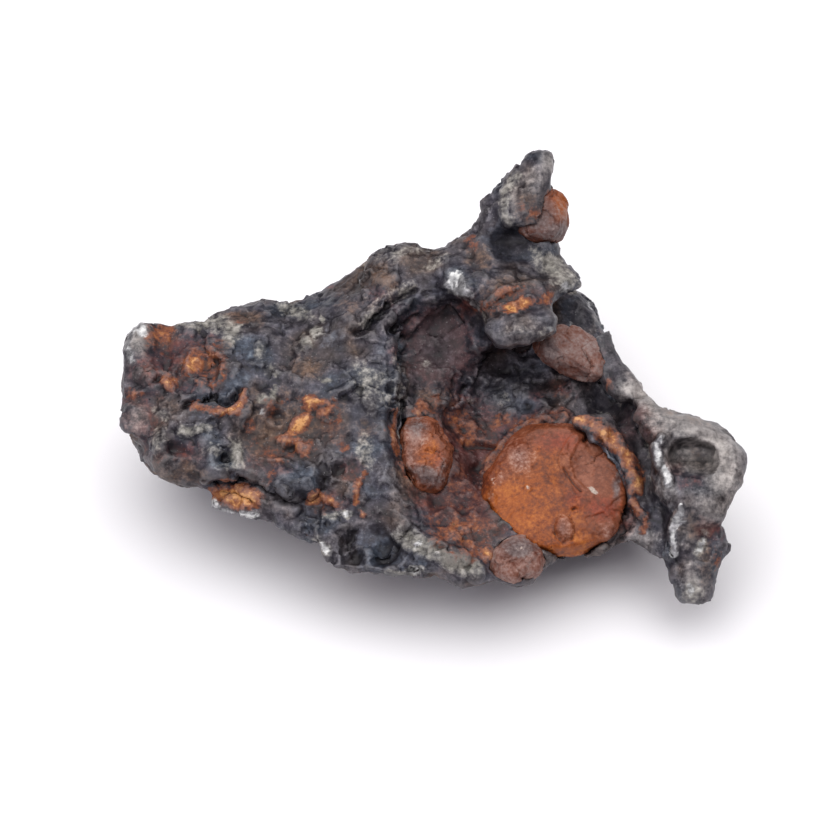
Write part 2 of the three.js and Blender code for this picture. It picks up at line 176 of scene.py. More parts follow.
def netOf(nodeName, voxel):
    # an even net of points over one solid, in mm
    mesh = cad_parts[nodeName].data.copy()
    mesh.transform(Matrix.Scale(1 / mm, 4))
    welded = bmesh.new()
    welded.from_mesh(mesh)
    bmesh.ops.remove_doubles(welded, verts=welded.verts, dist=0.002)
    welded.to_mesh(mesh)
    welded.free()
    return netFrom(changed(mesh, "REMESH", mode="VOXEL", voxel_size=voxel))


def thinned(net, triangles):
    # fewer faces where the surface is plain, all of them where it is rough
    net["mesh"].vertices.foreach_set("co", net["points"].ravel())
    share = triangles / (2 * len(net["faces"]))
    return netFrom(changed(net["mesh"], "DECIMATE", ratio=share, use_collapse_triangulate=True))


def gather(index, values, count):
    return np.stack([np.bincount(index, column, count) for column in values.T], 1)


def neighbourMean(net, values):
    flat = values.ndim == 1
    values = values[:, None] if flat else values
    first, second = net["edges"].T
    count = len(values)
    total = gather(first, values[second], count) + gather(second, values[first], count)
    mean = total / np.maximum(net["around"], 1)[:, None]
    return mean[:, 0] if flat else mean


def blurred(net, values, rounds):
    for _ in range(rounds):
        values = 0.4 * values + 0.6 * neighbourMean(net, values)
    return values


def relax(net, rounds, shrink=0.5, grow=-0.51):
    # evens out the flats of the solid's faces without thinning the points and horns
    for _ in range(rounds):
        for pull in (shrink, grow):
            points = net["points"]
            net["points"] = points + pull * (neighbourMean(net, points) - points)


def normalsOf(net):
    corners = net["points"][net["faces"]]
    facing = np.cross(corners[:, 2] - corners[:, 0], corners[:, -1] - corners[:, 1])
    total = np.zeros_like(net["points"])
    for corner in net["faces"].T:
        total += gather(corner, facing, len(total))
    return total / np.maximum(np.linalg.norm(total, axis=1), 1e-9)[:, None]


def lookAt(net, waver):
    # where each point lies as seen along the line of sight, and whether it can be seen
    offset = wandering(net["points"], 1.5, waver, 31) - middle
    place = np.stack([offset @ across, offset @ up, offset @ out], 1)
    spread = face["distance"] / (face["distance"] - place[:, 2:])
    place[:, :2] = face["aim"] + (place[:, :2] - face["aim"]) * spread
    cell = np.floor((place[:, :2] + face["cellMargin"]) / face["cell"]).astype(int)
    index = cell[:, 0] * face["cellsAside"] + cell[:, 1]
    nearest = np.full(face["cellsAside"] ** 2, -99.0)
    np.maximum.at(nearest, index, place[:, 2])
    facing = ease(normalsOf(net) @ out, *face["facing"])
    seen = facing * ease(place[:, 2] - nearest[index], *face["hidden"])
    net["place"], net["seen"] = place, blurred(net, seen, 3)


def onSurface(net, near, core, reach):
    # keeps a mark on the surface it was placed on, off whatever lies behind it
    level = net["place"][near, 2]
    shown = core & (net["seen"][near] > 0.5)
    top = np.percentile(level[shown], 85) if shown.any() else 99.0
    return (1 - ease(np.abs(level - top), reach, reach * 1.6)) * net["seen"][near]


def dome(radius):
    # a round top that meets the surface at a crease
    return np.sqrt(np.clip(1 - radius ** 2, 0, 1))


def slope(radius):
    return np.clip(1 - radius, 0, 1)


def bell(radius):
    return ease(1 - radius)


def table(radius):
    # a flat top with a steep edge
    return ease(1 - radius, 0, 0.35)


def spot(net, at, size, turn, shape, through=False):
    offset = net["place"][:, :2] - at
    near = np.flatnonzero(np.abs(offset).max(axis=1) < max(size))
    angle = math.radians(turn)
    along = (offset[near, 0] * math.cos(angle) + offset[near, 1] * math.sin(angle)) / size[0]
    beside = (offset[near, 1] * math.cos(angle) - offset[near, 0] * math.sin(angle)) / size[1]
    radius = np.hypot(along, beside)
    weight = np.zeros(len(offset))
    weight[near] = shape(radius)
    if not through:
        weight[near] *= onSurface(net, near, radius < 0.8, 1.2 + 0.8 * max(size))
    return weight


def stroke(net, path, width, shape):
    path = np.array(path)
    places = net["place"][:, :2]
    inside = (places > path.min(axis=0) - width) & (places < path.max(axis=0) + width)
    near = np.flatnonzero(inside.all(axis=1))
    distance = np.full(len(near), 99.0)
    for start, end in zip(path[:-1], path[1:]):
        offset, step = places[near] - start, end - start
        share = np.clip(offset @ step / (step @ step), 0, 1)
        distance = np.minimum(distance, np.linalg.norm(offset - share[:, None] * step, axis=1))
    weight = np.zeros(len(places))
    weight[near] = shape(distance / width) * onSurface(net, near, distance < width, 2.2)
    return weight


def push(net, amount):
    net["points"] = net["points"] + normalsOf(net) * amount[:, None]


def hollowness(net, rounds):
    # above 0 in hollows, below 0 on bumps, in mm
    smooth = blurred(net, net["points"], rounds)
    return ((smooth - net["points"]) * normalsOf(net)).sum(1)


def pieceFrom(net, name, material, marks):
    mesh = net["mesh"]
    mesh.vertices.foreach_set("co", (net["points"] * mm).ravel())
    mesh.name = name
    for markName, values in marks.items():
        attribute = mesh.attributes.new(markName, "FLOAT", "POINT")
        attribute.data.foreach_set("value", values.astype(np.float32))
    mesh.polygons.foreach_set("use_smooth", np.ones(len(mesh.polygons), bool))
    mesh.materials.clear()
    mesh.materials.append(material)
    mesh.update()
    piece = bpy.data.objects.new(name, mesh)
    bpy.context.scene.collection.objects.link(piece)
    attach(piece, "root")
    return piece


def tone(red, green, blue):
    # a colour as it looks, 0 to 255, turned into light
    parts = [value / 255 for value in (red, green, blue)]
    linear = [part / 12.92 if part <= 0.04045 else ((part + 0.055) / 1.055) ** 2.4 for part in parts]
    return (*linear, 1.0)


def addNode(tree, kind, inputs=None, **settings):
    made = tree.nodes.new(kind)
    for name, value in settings.items():
        setattr(made, name, value)
    for key, value in (inputs or {}).items():
        if isinstance(value, bpy.types.NodeSocket):
            tree.links.new(value, made.inputs[key])
        else:
            made.inputs[key].default_value = value
    return made


def noiseIn(tree, place, scale, detail=4, roughness=0.55):
    return addNode(tree, "ShaderNodeTexNoise", {
        "Vector": place, "Scale": scale, "Detail": detail, "Roughness": roughness,
    }).outputs[0]


def mathIn(tree, operation, first, second):
    return addNode(tree, "ShaderNodeMath", {0: first, 1: second}, operation=operation).outputs[0]


def blendIn(tree, first, second, share):
    return addNode(tree, "ShaderNodeMix", {0: share, 2: first, 3: second}).outputs[0]


def rangeIn(tree, value, low, high, newLow=0.0, newHigh=1.0):
    return addNode(tree, "ShaderNodeMapRange", {
        "Value": value, "From Min": low, "From Max": high, "To Min": newLow, "To Max": newHigh,
    }, interpolation_type="SMOOTHSTEP").outputs[0]


def colourIn(tree, factor, first, second, blend="MIX"):
    return addNode(
        tree, "ShaderNodeMix", {0: factor, 6: first, 7: second}, data_type="RGBA", blend_type=blend,
    ).outputs[2]


def rampIn(tree, factor, stops):
    ramp = addNode(tree, "ShaderNodeValToRGB", {"Fac": factor})
    elements = ramp.color_ramp.elements
    while len(elements) < len(stops):
        elements.new(0.5)
    for element, (position, colour) in zip(elements, stops):
        element.position, element.color = position, tone(*colour)
    return ramp.outputs[0]


plainFinish = {"grain": "patchy", "byLevel": False}


def weathered(name, look):
    # a mottled ground, with one finish after another laid over it where its mark is strong, one of them
    # painted shade; then painted shade in the crevices and pits, painted highlights on the rubbed crests
    # and painted glints
    material = bpy.data.materials.new(name)
    material.use_nodes = True
    tree = material.node_tree
    tree.nodes.clear()
    coords = addNode(tree, "ShaderNodeTexCoord").outputs["Object"]
    place = addNode(tree, "ShaderNodeMapping", {"Vector": coords, "Scale": (1 / mm,) * 3}).outputs[0]
    broad = noiseIn(tree, place, look["broad"], 2)
    patchy = noiseIn(tree, place, look["patchy"], 6, 0.65)
    fine = noiseIn(tree, place, look["fine"], 4, 0.6)
    grit = noiseIn(tree, place, look["grit"], 2, 0.6)
    mottle = blendIn(tree, patchy, fine, 0.45)
    speckle = blendIn(tree, fine, grit, 0.4)
    nookShade = addNode(tree, "ShaderNodeAttribute", attribute_name="nookShade").outputs["Fac"]
    tint = rampIn(tree, broad, look["tints"])
    colour = colourIn(tree, 1.0, rampIn(tree, mottle, look["ground"]), tint, "MULTIPLY")
    roughness = rangeIn(tree, mottle, 0.38, 0.62, *look["roughness"])
    isMetal = look["metallic"] is not None
    metallic = rangeIn(tree, fine, 0.35, 0.65, *look["metallic"]) if isMetal else 0.0
    grains = {"patchy": mottle, "fine": speckle}
    uneven = {name: mathIn(tree, "SUBTRACT", grain, 0.5) for name, grain in grains.items()}
    for own in look["finishes"]:
        finish = plainFinish | own
        mark = addNode(tree, "ShaderNodeAttribute", attribute_name=finish["mark"]).outputs["Fac"]
        sway = mathIn(tree, "MULTIPLY", uneven[finish["grain"]], finish["ragged"])
        level = mathIn(tree, "ADD", mark, mathIn(tree, "MULTIPLY", sway, rangeIn(tree, mark, 0.0, 0.25)))
        amount = rangeIn(tree, level, *finish["reach"], 0.0, finish["cover"])
        shade = rampIn(tree, level if finish["byLevel"] else grains[finish["grain"]], finish["stops"])
        colour = colourIn(tree, amount, colour, shade)
        roughness = blendIn(tree, roughness, finish["roughness"], amount)
        metallic = blendIn(tree, metallic, finish["metallic"], amount) if isMetal else 0.0
    # painted shade: the colour darkens towards a near-black tone in the small hollows that the nook mark
    # tells
    crevice = rangeIn(tree, nookShade, 0.52, 0.95, 0.0, look["creviceShade"])
    colour = colourIn(tree, crevice, colour, tone(*look["crevice"]))
    # rubbed crests: lighter as worn metal and as painted highlight where light catches them, none in the
    # hollows
    rubbedHighlightLevel = mathIn(tree, "SUBTRACT", mathIn(tree, "MULTIPLY", speckle, 0.8), nookShade)
    rubbedHighlight = rangeIn(tree, rubbedHighlightLevel, -0.1, 0.25, 0.0, look["rubbedHighlightStrength"])
    colour = colourIn(tree, rubbedHighlight, colour, tone(*look["rubbedHighlight"]), "SCREEN")
    # painted shade: tiny dark specks in the crevice tone that stand in for the shade inside small pits
    pore = rangeIn(tree, grit, 0.4, 0.32, 0.0, look["pore"])
    colour = colourIn(tree, pore, colour, tone(*look["crevice"]))
    # painted glints: small light specks, a little glossier, that stand in for sparkles of light on the
    # surface
    glint = rangeIn(tree, grit, *look["glintReach"], 0.0, look["glint"])
    colour = colourIn(tree, glint, colour, tone(*look["glintTone"]))
    roughness = blendIn(tree, roughness, 0.3, glint)
    relief = blendIn(tree, mottle, speckle, 0.5)
    bump = addNode(tree, "ShaderNodeBump", {
        "Height": relief, "Strength": look["bump"], "Distance": look["bumpDepth"] * mm,
    })
    shader = addNode(tree, "ShaderNodeBsdfPrincipled", {
        "Base Color": colour, "Roughness": roughness, "Metallic": metallic, "Normal": bump.outputs[0],
        "Specular IOR Level": look["specular"], "Coat Weight": look["coat"], "Coat Roughness": 0.3,
    })
    result = addNode(tree, "ShaderNodeOutputMaterial")
    tree.links.new(shader.outputs[0], result.inputs["Surface"])
    return material


iron = {
    "voxel": 0.15,  # mm between the net's points
    "triangles": 188000,
    "relaxRounds": 22,
    "waver": 0.3,  # mm by which placed relief wavers
    "markWaver": 0.55,
    # size, height, seed
    "swells": [(3.4, 0.22, 3), (1.9, 0.16, 5)],
    "plates": [(2.5, 0.3, 45), (1.2, 0.15, 47)],
    "nodules": [(1.7, 0.16, 11), (0.85, 0.08, 13)],
    "crests": [(1.3, 0.2, 21), (0.6, 0.09, 23)],
    "pebbles": [(0.95, 0.12, 27)],
    "pits": [(1.25, 0.22, 17), (0.7, 0.08, 19)],
    "grit": (0.4, 0.035, 29),
    "floorTouch": 0.06,  # mm above the floor up to which the feet stay level
    "footFade": (0.05, 0.9),  # mm above the floor over which the roughness sets in
    "meltRounds": 30,
    "nookShade": (6, 2.3),  # rounds of blurring and strength that tell small hollows
    "wideNook": (60, 0.3),
    # across, up, half width, half height, turn, share by which the roughness drops
    "calm": [
        # lobe, leg and right wall
        (21.4, -5.2, 4.6, 5.4, -20, 0.75), (20.3, -13.6, 2.6, 4.4, 0, 0.6),
        (15.8, -4.6, 2.6, 5.6, 12, 0.8), (13.6, 3.4, 1.8, 4.4, -20, 0.9), (13.6, -5.0, 3.4, 2.2, -45, 0.7),
        # horn and brow
        (8.6, 14.6, 2.8, 3.6, 0, 0.6), (6.9, 10.6, 3.2, 1.8, 0, 0.75), (6.6, 4.6, 3.6, 2.8, 0, 0.7),
        (10.2, 8.2, 2.2, 1.8, -35, 0.5),
        # hollow, front rim and left end
        (1.8, -8.6, 3.6, 4.4, 0, 0.6), (0.4, 2.2, 3.0, 3.4, 0, 0.5), (0.8, -13.8, 3.2, 1.0, -28, 0.6),
        (-23.6, 3.0, 1.4, 2.4, 0, 0.7),
    ],
    # the same, where thin snags are melted back
    "melted": [(13.9, 4.0, 1.0, 1.2, 0, 1.0)],
    # across, up, half width, half height, turn, height of each lump
    "lumps": [
        # left end
        (-22.9, 0.4, 0.8, 0.7, 0, 0.35), (-18.7, -0.5, 1.0, 0.6, 0, 0.3), (-20.9, -0.3, 0.7, 0.7, 0, 0.35),
        (-19.0, 1.0, 0.7, 0.6, 20, 0.3), (-23.6, -3.6, 1.1, 1.6, 0, 0.2), (-21.8, -5.0, 0.8, 1.0, 0, 0.4),
        (-17.7, -4.8, 1.6, 0.9, -25, 0.35), (-19.1, -4.1, 1.4, 0.6, 12, 0.25),
        (-16.0, -9.3, 1.6, 0.6, 0, 0.2),
        # plate
        (-9.7, -2.1, 0.6, 0.6, 0, 0.35), (-10.6, -3.5, 0.9, 0.6, 40, 0.3), (-11.7, -5.0, 0.7, 0.6, 0, 0.25),
        (-8.4, -2.8, 0.8, 0.9, 30, 0.3), (-10.1, -5.6, 0.7, 0.5, -20, 0.25),
        (-9.4, -9.5, 0.6, 0.5, 0, 0.35), (-8.0, -9.8, 0.7, 0.4, 0, 0.2), (-9.4, 3.7, 0.6, 0.6, 0, 0.2),
        (-10.1, 2.8, 0.7, 0.5, -20, 0.2), (-13.1, -1.6, 0.6, 0.6, 0, 0.3), (-13.7, 2.2, 0.5, 0.8, 0, 0.2),
        (-3.8, 8.2, 1.4, 0.8, -40, 0.2),
        # hollow
        (-0.9, -2.5, 0.6, 0.5, 0, 0.3), (0.5, -1.6, 1.0, 0.7, 0, 0.3), (1.7, -1.9, 0.8, 0.6, 0, 0.25),
        (2.9, -4.3, 1.4, 0.8, -35, 0.3), (3.1, -8.7, 1.1, 0.8, 30, 0.3), (1.3, -7.3, 0.7, 1.0, 0, 0.25),
        (1.1, -10.9, 1.0, 0.7, 0, 0.25), (2.1, -12.5, 1.3, 0.8, -30, 0.3), (4.4, -14.0, 0.7, 0.6, 0, 0.35),
        (5.3, -1.7, 1.3, 0.7, 20, 0.3), (6.9, -1.1, 1.0, 0.6, -20, 0.25), (4.5, -0.2, 0.9, 0.6, 0, 0.25),
        (6.0, -3.0, 1.0, 0.5, 10, 0.25),
        # foot of the right wall
        (16.4, -12.5, 1.0, 0.7, 0, 0.3), (17.8, -13.5, 0.6, 0.8, 0, 0.25),
    ],
    # the same, with the depth of each dent
    "dents": [
        # left end
        (-23.1, -0.5, 0.8, 0.5, 0, 0.4), (-18.1, 1.0, 1.2, 1.0, 0, 0.35), (-23.6, -1.9, 1.0, 0.6, 0, 0.2),
        (-20.4, -5.7, 1.4, 0.7, -10, 0.45), (-16.5, -6.4, 0.6, 0.6, 0, 0.45),
        (-14.8, 0.2, 1.0, 1.4, 0, 0.2),
        # plate
        (-12.5, -3.0, 0.5, 0.4, 0, 0.3), (-11.2, -5.5, 0.6, 0.5, 0, 0.4), (-13.6, -0.6, 0.7, 0.6, 0, 0.25),
        (-7.4, -1.6, 0.8, 0.6, 0, 0.2), (-7.8, -7.3, 0.8, 0.7, 0, 0.25), (-10.6, -7.3, 1.1, 0.7, 20, 0.25),
        (-7.0, -4.9, 0.7, 0.6, 0, 0.2), (-6.3, -14.3, 1.0, 0.7, 20, 0.5), (-3.8, -14.1, 1.2, 1.0, 0, 0.6),
        # hollow
        (0.6, 2.2, 1.6, 1.0, 30, 0.3), (0.3, -9.7, 0.7, 1.0, 20, 0.35), (3.6, -7.1, 0.7, 0.6, 0, 0.3),
        (2.4, -10.5, 0.6, 0.5, 0, 0.25), (1.7, -5.7, 0.6, 0.5, 0, 0.25), (5.7, 0.5, 1.0, 0.6, 0, 0.35),
        (7.5, -2.4, 0.7, 0.5, 0, 0.25),
    ],
    # ring walls: across, up, radius, wall width, height
    "rings": [
        (-18.1, 1.0, 1.45, 0.42, 0.25), (-16.5, -6.4, 1.15, 0.5, 0.3), (-12.5, -3.0, 0.85, 0.35, 0.2),
    ],
    # raised lines: width, height, then places across and up
    "ridges": {
        "orangeLip": (
            0.34, 0.14,
            [(-19.0, -2.3), (-18.1, -2.5), (-16.7, -2.6), (-15.7, -2.5), (-15.1, -1.8), (-14.9, -1.1)],
        ),
        "silverRim": (0.4, 0.25, [(-17.6, -9.8), (-16.6, -10.5), (-15.6, -11.0), (-14.2, -11.0)]),
        "knobEdge": (0.4, 0.2, [(-24.0, 4.2), (-24.3, 2.6), (-24.0, 1.3)]),
        "grainEdge": (0.28, 0.12, [(-3.1, -2.5), (-3.0, -4.2), (-2.9, -5.9), (-2.2, -7.4), (-1.3, -8.0)]),
        "crackLip": (0.3, 0.12, [(-5.4, -7.5), (-6.0, -8.3), (-6.3, -9.2), (-6.0, -10.0), (-5.6, -10.8)]),
        "paleRidge": (0.9, 0.35, [(-2.2, -12.5), (-0.6, -13.5), (1.8, -14.4), (3.3, -15.3)]),
        "hornFold": (0.42, 0.25, [(6.7, 16.2), (5.8, 14.8), (5.6, 13.1), (6.0, 12.5)]),
        "crescent": (
            0.5, 0.12,
            [(11.0, -3.0), (12.9, -4.0), (14.4, -4.9), (15.6, -6.6), (16.1, -8.1), (16.0, -8.8)],
        ),
        "crescentEnd": (0.35, 0.14, [(15.7, -10.0), (16.2, -10.6), (17.0, -11.4), (16.7, -12.1)]),
        "legFold": (0.45, 0.42, [(19.9, -10.3), (19.5, -11.2), (19.1, -12.4), (19.0, -14.1)]),
        "pocketRim": (0.42, 0.38, [(18.3, -4.8), (17.8, -5.6), (17.9, -6.2), (18.3, -7.3), (18.7, -8.3)]),
        "browFoldHigh": (0.35, 0.2, [(4.4, 5.9), (5.6, 6.9), (6.6, 7.3)]),
        "browFoldLow": (0.45, 0.3, [(5.5, 5.3), (6.7, 5.4), (7.7, 6.2)]),
        "crestFoldHigh": (0.5, 0.18, [(-1.7, 7.3), (-3.4, 6.7), (-5.3, 4.8)]),
        "crestFoldLow": (0.5, 0.2, [(-0.1, 6.0), (-1.8, 4.4), (-3.0, 2.6)]),
        "basinRim": (0.45, 0.25, [(-2.5, 1.4), (-2.6, -0.6), (-2.9, -2.5)]),
        "ledgeFill": (1.0, 0.5, [(-17.2, -7.9), (-15.4, -8.1), (-13.6, -8.9), (-11.4, -10.0)]),
        "grainSide": (0.5, 0.25, [(4.1, -8.2), (4.9, -6.4), (6.4, -4.6), (8.4, -3.5), (10.2, -3.2)]),
    },
    # cut lines: width, depth, then places across and up
    "cracks": {
        "slot": (
            0.42, 0.7,
            [(-19.8, -2.2), (-18.9, -1.7), (-17.3, -1.5), (-16.3, -2.0), (-15.6, -1.5), (-15.3, -0.8)],
        ),
        "crevice": (0.5, 0.7, [(-1.6, 6.9), (-3.4, 6.1), (-5.1, 4.1), (-5.9, 3.6)]),
        "crease": (0.5, 0.4, [(-1.4, 4.8), (-3.3, 3.7)]),
        "shelf": (0.42, 0.5, [(2.7, -5.2), (4.7, -5.5)]),
        "grainGap": (0.35, 0.5, [(-2.4, -1.7), (-2.5, -4.1), (-2.3, -5.9), (-1.5, -7.3)]),
        "crescentGap": (0.4, 0.45, [(13.3, -5.0), (14.1, -6.3), (14.9, -7.6), (15.0, -9.0)]),
    },
    # across, up, half width, half height, turn, strength of each finish and of the painted shade
    "marks": {
        "slate": [
            # left end and plate
            (-15.7, -0.6, 1.1, 1.6, 0, 0.8), (-15.2, 2.4, 1.8, 1.1, 0, 0.6),
            (-18.5, -0.3, 1.0, 0.6, 0, 0.4), (-23.3, 0.2, 0.8, 0.6, 0, 0.4),
            (-16.4, -6.5, 0.6, 0.6, 0, 0.8), (-18.9, -2.9, 1.4, 0.6, 12, 0.4),
            (-8.1, 3.3, 1.1, 1.9, 0, 0.5), (-3.8, -2.1, 1.1, 2.4, 0, 0.7), (-10.9, -7.9, 2.7, 1.6, 0, 0.8),
            (-7.0, -6.1, 1.3, 1.3, 0, 0.5), (-5.6, -4.9, 1.3, 3.2, 0, 0.55),
            (-3.8, -13.8, 3.8, 1.8, 0, 0.6),
            # hollow, brow and horn; the dark slate under the horn's grain is painted shadow as well as
            # bluish metal
            (-3.0, -7.3, 1.0, 1.6, 0, 0.5), (-1.0, 6.2, 2.4, 1.1, 30, 0.35), (5.3, -1.1, 2.9, 2.2, 0, 0.6),
            (6.7, 10.8, 2.5, 1.3, 0, 0.95), (9.1, 10.6, 1.1, 1.0, 0, 0.9), (11.2, 5.6, 1.4, 1.9, 0, 1.0),
            (11.0, -1.3, 1.8, 1.0, 0, 0.4),
            # right wall and lobe
            (16.4, -7.3, 2.1, 5.6, 0, 0.27), (18.5, -9.4, 1.3, 1.8, 0, 0.48),
            (20.3, -5.4, 1.3, 0.5, 0, 0.36),
        ],
        "umber": [
            # left end and plate
            (-14.9, 4.7, 1.4, 0.6, 5, 0.8), (-10.1, 0.9, 1.4, 1.1, 0, 0.55), (-21.8, 3.5, 1.4, 1.0, 0, 0.7),
            (-12.5, -3.7, 2.5, 2.7, 0, 0.6), (-8.8, -3.3, 2.1, 1.8, 0, 0.5),
            (-4.0, 8.1, 1.2, 0.7, -40, 0.8), (-19.3, -7.5, 1.6, 0.7, -20, 0.5),
            (-7.0, 6.2, 1.6, 1.0, -35, 0.35), (-5.3, -4.1, 1.0, 1.0, 0, 0.35),
            (-16.5, 2.6, 0.8, 0.5, 0, 0.3), (-7.4, -3.3, 0.6, 1.1, 0, 0.3), (-2.0, -7.5, 1.3, 0.9, 0, 0.55),
            # hollow, brow and horn
            (0.2, -1.7, 1.4, 1.0, 0, 0.6), (3.7, 9.5, 1.1, 1.1, 0, 0.6), (5.3, 6.5, 2.1, 1.4, 20, 0.5),
            (8.3, 13.1, 1.6, 1.8, 0, 0.5), (10.4, 12.1, 0.6, 0.6, 0, 0.5), (10.1, -1.7, 1.3, 0.6, 0, 0.3),
            # lobe and leg
            (20.7, -3.1, 1.4, 0.6, -15, 0.42), (18.7, -2.4, 1.2, 0.6, -30, 0.32),
            (21.2, -6.3, 1.0, 0.8, 0, 0.4), (20.4, -11.8, 0.8, 1.2, 0, 0.4),
            (21.7, -14.4, 0.6, 1.9, 0, 0.5),
        ],
        "maroon": [
            # left end and plate
            (-20.2, 1.3, 3.4, 2.4, 0, 0.62), (-23.6, -1.9, 1.4, 1.0, 0, 0.6),
            (-23.3, -3.7, 1.6, 2.2, 0, 0.5), (-20.3, -5.9, 1.8, 0.9, 0, 0.55),
            (-13.3, -6.7, 2.1, 1.1, 0, 0.45), (-6.6, -7.1, 1.2, 1.0, 0, 0.5),
            (-7.8, -9.7, 1.3, 0.8, 0, 0.4), (-12.1, -5.7, 1.4, 1.0, 0, 0.4), (-8.2, -4.0, 1.1, 1.0, 0, 0.5),
            (-3.8, 6.2, 1.9, 1.4, -40, 0.35),
            # hollow and brow
            (0.4, 2.2, 2.9, 3.3, 20, 0.7), (2.6, 5.7, 0.7, 1.6, 0, 0.7), (-0.6, 3.8, 1.8, 2.1, 0, 0.4),
            (2.3, -7.5, 3.7, 5.9, 10, 0.85), (1.1, -10.3, 1.6, 1.8, 0, 0.9), (6.9, 6.2, 2.4, 1.1, 15, 0.35),
            (10.1, -0.8, 1.8, 0.8, 0, 0.5), (8.5, -1.3, 1.0, 0.6, 0, 0.4), (13.3, 2.2, 0.8, 0.8, 0, 0.5),
            # right wall, lobe and leg
            (16.4, -3.3, 2.1, 3.2, 0, 0.5), (14.8, -11.3, 1.1, 1.3, 0, 0.6), (19.3, -6.8, 0.7, 0.9, 0, 0.7),
            (20.6, -8.4, 1.1, 0.5, 0, 0.5), (21.7, -12.0, 1.2, 0.9, 0, 0.85),
        ],
        "rust": [
            # left end
            (-21.8, 3.6, 1.1, 0.9, 10, 0.76), (-21.7, 2.1, 1.3, 0.8, 0, 0.22),
            (-23.8, -1.3, 1.0, 0.6, 0, 0.46), (-19.0, 1.0, 1.1, 0.8, 20, 0.9),
            (-18.1, 1.1, 1.7, 1.5, 0, 0.55), (-17.5, 2.1, 1.4, 0.8, 0, 0.37),
            (-17.5, 2.1, 1.0, 0.4, 0, 0.6), (-16.7, 0.9, 0.4, 1.0, 0, 0.68),
            (-21.0, -0.3, 0.7, 0.7, 0, 0.85), (-15.3, 4.4, 0.7, 0.3, 0, 0.32),
            (-14.6, -4.0, 0.6, 0.7, 0, 0.6), (-14.3, -5.0, 0.6, 0.5, 0, 0.4),
            (-15.7, -9.4, 1.8, 0.85, -5, 1.25), (-17.4, -9.5, 0.6, 0.4, 0, 0.76),
            (-16.7, -8.3, 0.5, 0.3, 0, 0.86),
            # plate
            (-12.9, -1.9, 0.6, 0.25, 0, 0.36), (-11.3, -1.7, 0.7, 0.25, 10, 0.45),
            (-12.8, -2.5, 0.6, 0.8, 0, 0.38), (-9.7, -2.1, 0.6, 0.6, 0, 1.08),
            (-10.6, -3.6, 1.0, 0.6, 40, 1.08), (-11.3, -4.1, 0.6, 0.5, 0, 0.65),
            (-8.4, -2.7, 0.8, 0.9, 30, 0.68), (-7.9, -3.3, 0.6, 0.6, 0, 0.54),
            (-11.7, -5.0, 0.9, 0.6, 0, 0.45), (-10.1, -5.6, 0.8, 0.6, -20, 0.72),
            (-10.7, -4.9, 0.5, 0.3, 0, 0.54), (-12.1, -6.1, 1.3, 0.6, 0, 0.38),
            (-13.1, -7.8, 0.6, 0.6, -30, 0.43), (-7.1, -5.4, 0.4, 0.4, 0, 0.72),
            (-6.3, -7.6, 0.3, 0.3, 0, 0.45), (-9.4, -9.5, 0.6, 0.4, 0, 0.9),
            (-8.1, -9.8, 0.7, 0.3, 0, 0.68), (-8.8, -10.6, 0.6, 0.4, 0, 0.36),
            (-3.6, -4.1, 0.3, 0.5, 0, 0.27), (-2.9, -5.1, 0.25, 1.0, 0, 0.72),
            (-1.4, -7.9, 0.5, 0.4, -30, 0.68),
            # hollow
            (-0.9, -2.5, 0.6, 0.5, 0, 0.9), (-1.0, -3.2, 0.4, 0.3, 0, 0.43), (0.4, -1.6, 0.8, 0.5, 0, 0.4),
            (0.8, -2.5, 1.0, 0.6, 0, 0.31), (2.6, -3.9, 1.8, 1.2, -38, 0.5),
            (3.9, -4.9, 1.1, 0.6, -25, 0.37), (5.3, -3.4, 1.1, 0.4, 20, 0.5),
            (8.3, -3.3, 1.0, 0.4, 25, 0.54), (9.4, -1.2, 0.6, 0.5, 0, 0.37), (1.7, -9.0, 1.7, 2.4, 0, 0.33),
            (3.4, -10.1, 1.4, 1.1, 0, 0.22), (2.3, -12.3, 2.7, 1.9, -20, 0.5),
            (3.1, -12.7, 0.6, 0.6, 0, 0.32), (4.4, -14.0, 0.6, 0.5, 0, 0.9),
            # brow and horn
            (5.3, 6.3, 1.9, 0.8, 25, 0.54), (6.7, 5.7, 1.3, 0.5, 15, 0.63), (6.1, 5.4, 0.7, 0.3, 0, 1.08),
            (7.4, 6.0, 0.6, 0.4, 30, 0.86), (8.9, 6.2, 0.6, 0.6, 0, 0.45), (2.8, 5.4, 0.6, 1.1, 0, 0.22),
            (5.3, 6.2, 1.1, 0.6, 20, 0.2), (3.2, 10.6, 0.6, 0.6, 0, 0.4), (8.2, 13.2, 1.2, 1.0, 0, 0.4),
            (9.8, 13.9, 0.6, 1.2, 25, 0.81), (9.7, 14.8, 0.4, 0.6, 25, 0.54),
            # right wall and leg
            (14.0, -0.4, 0.4, 1.0, 0, 0.36), (21.6, -12.5, 0.6, 0.6, 0, 0.22),
            (22.6, -14.4, 0.3, 1.1, 0, 0.45),
        ],
        "pale": [
            # left end
            (-18.5, 4.5, 2.5, 0.7, -8, 0.8), (-16.0, 3.5, 0.7, 1.0, 0, 0.8), (-20.4, 4.4, 1.0, 0.6, 0, 0.6),
            (-19.1, -4.2, 1.4, 0.5, 12, 0.9), (-21.6, -2.8, 0.8, 0.5, -30, 0.5),
            (-21.8, -5.0, 0.7, 1.0, 0, 0.7), (-15.6, -5.9, 0.6, 1.0, 20, 0.8),
            (-17.3, -5.6, 1.0, 0.4, 10, 0.5), (-16.0, -7.1, 1.0, 0.4, 0, 0.6),
            # plate
            (-11.1, 5.4, 1.3, 0.7, -20, 0.85), (-9.4, 3.7, 0.6, 0.5, 0, 0.85),
            (-10.1, 2.8, 0.8, 0.4, -20, 0.8), (-10.6, 2.2, 0.5, 0.4, 0, 0.6),
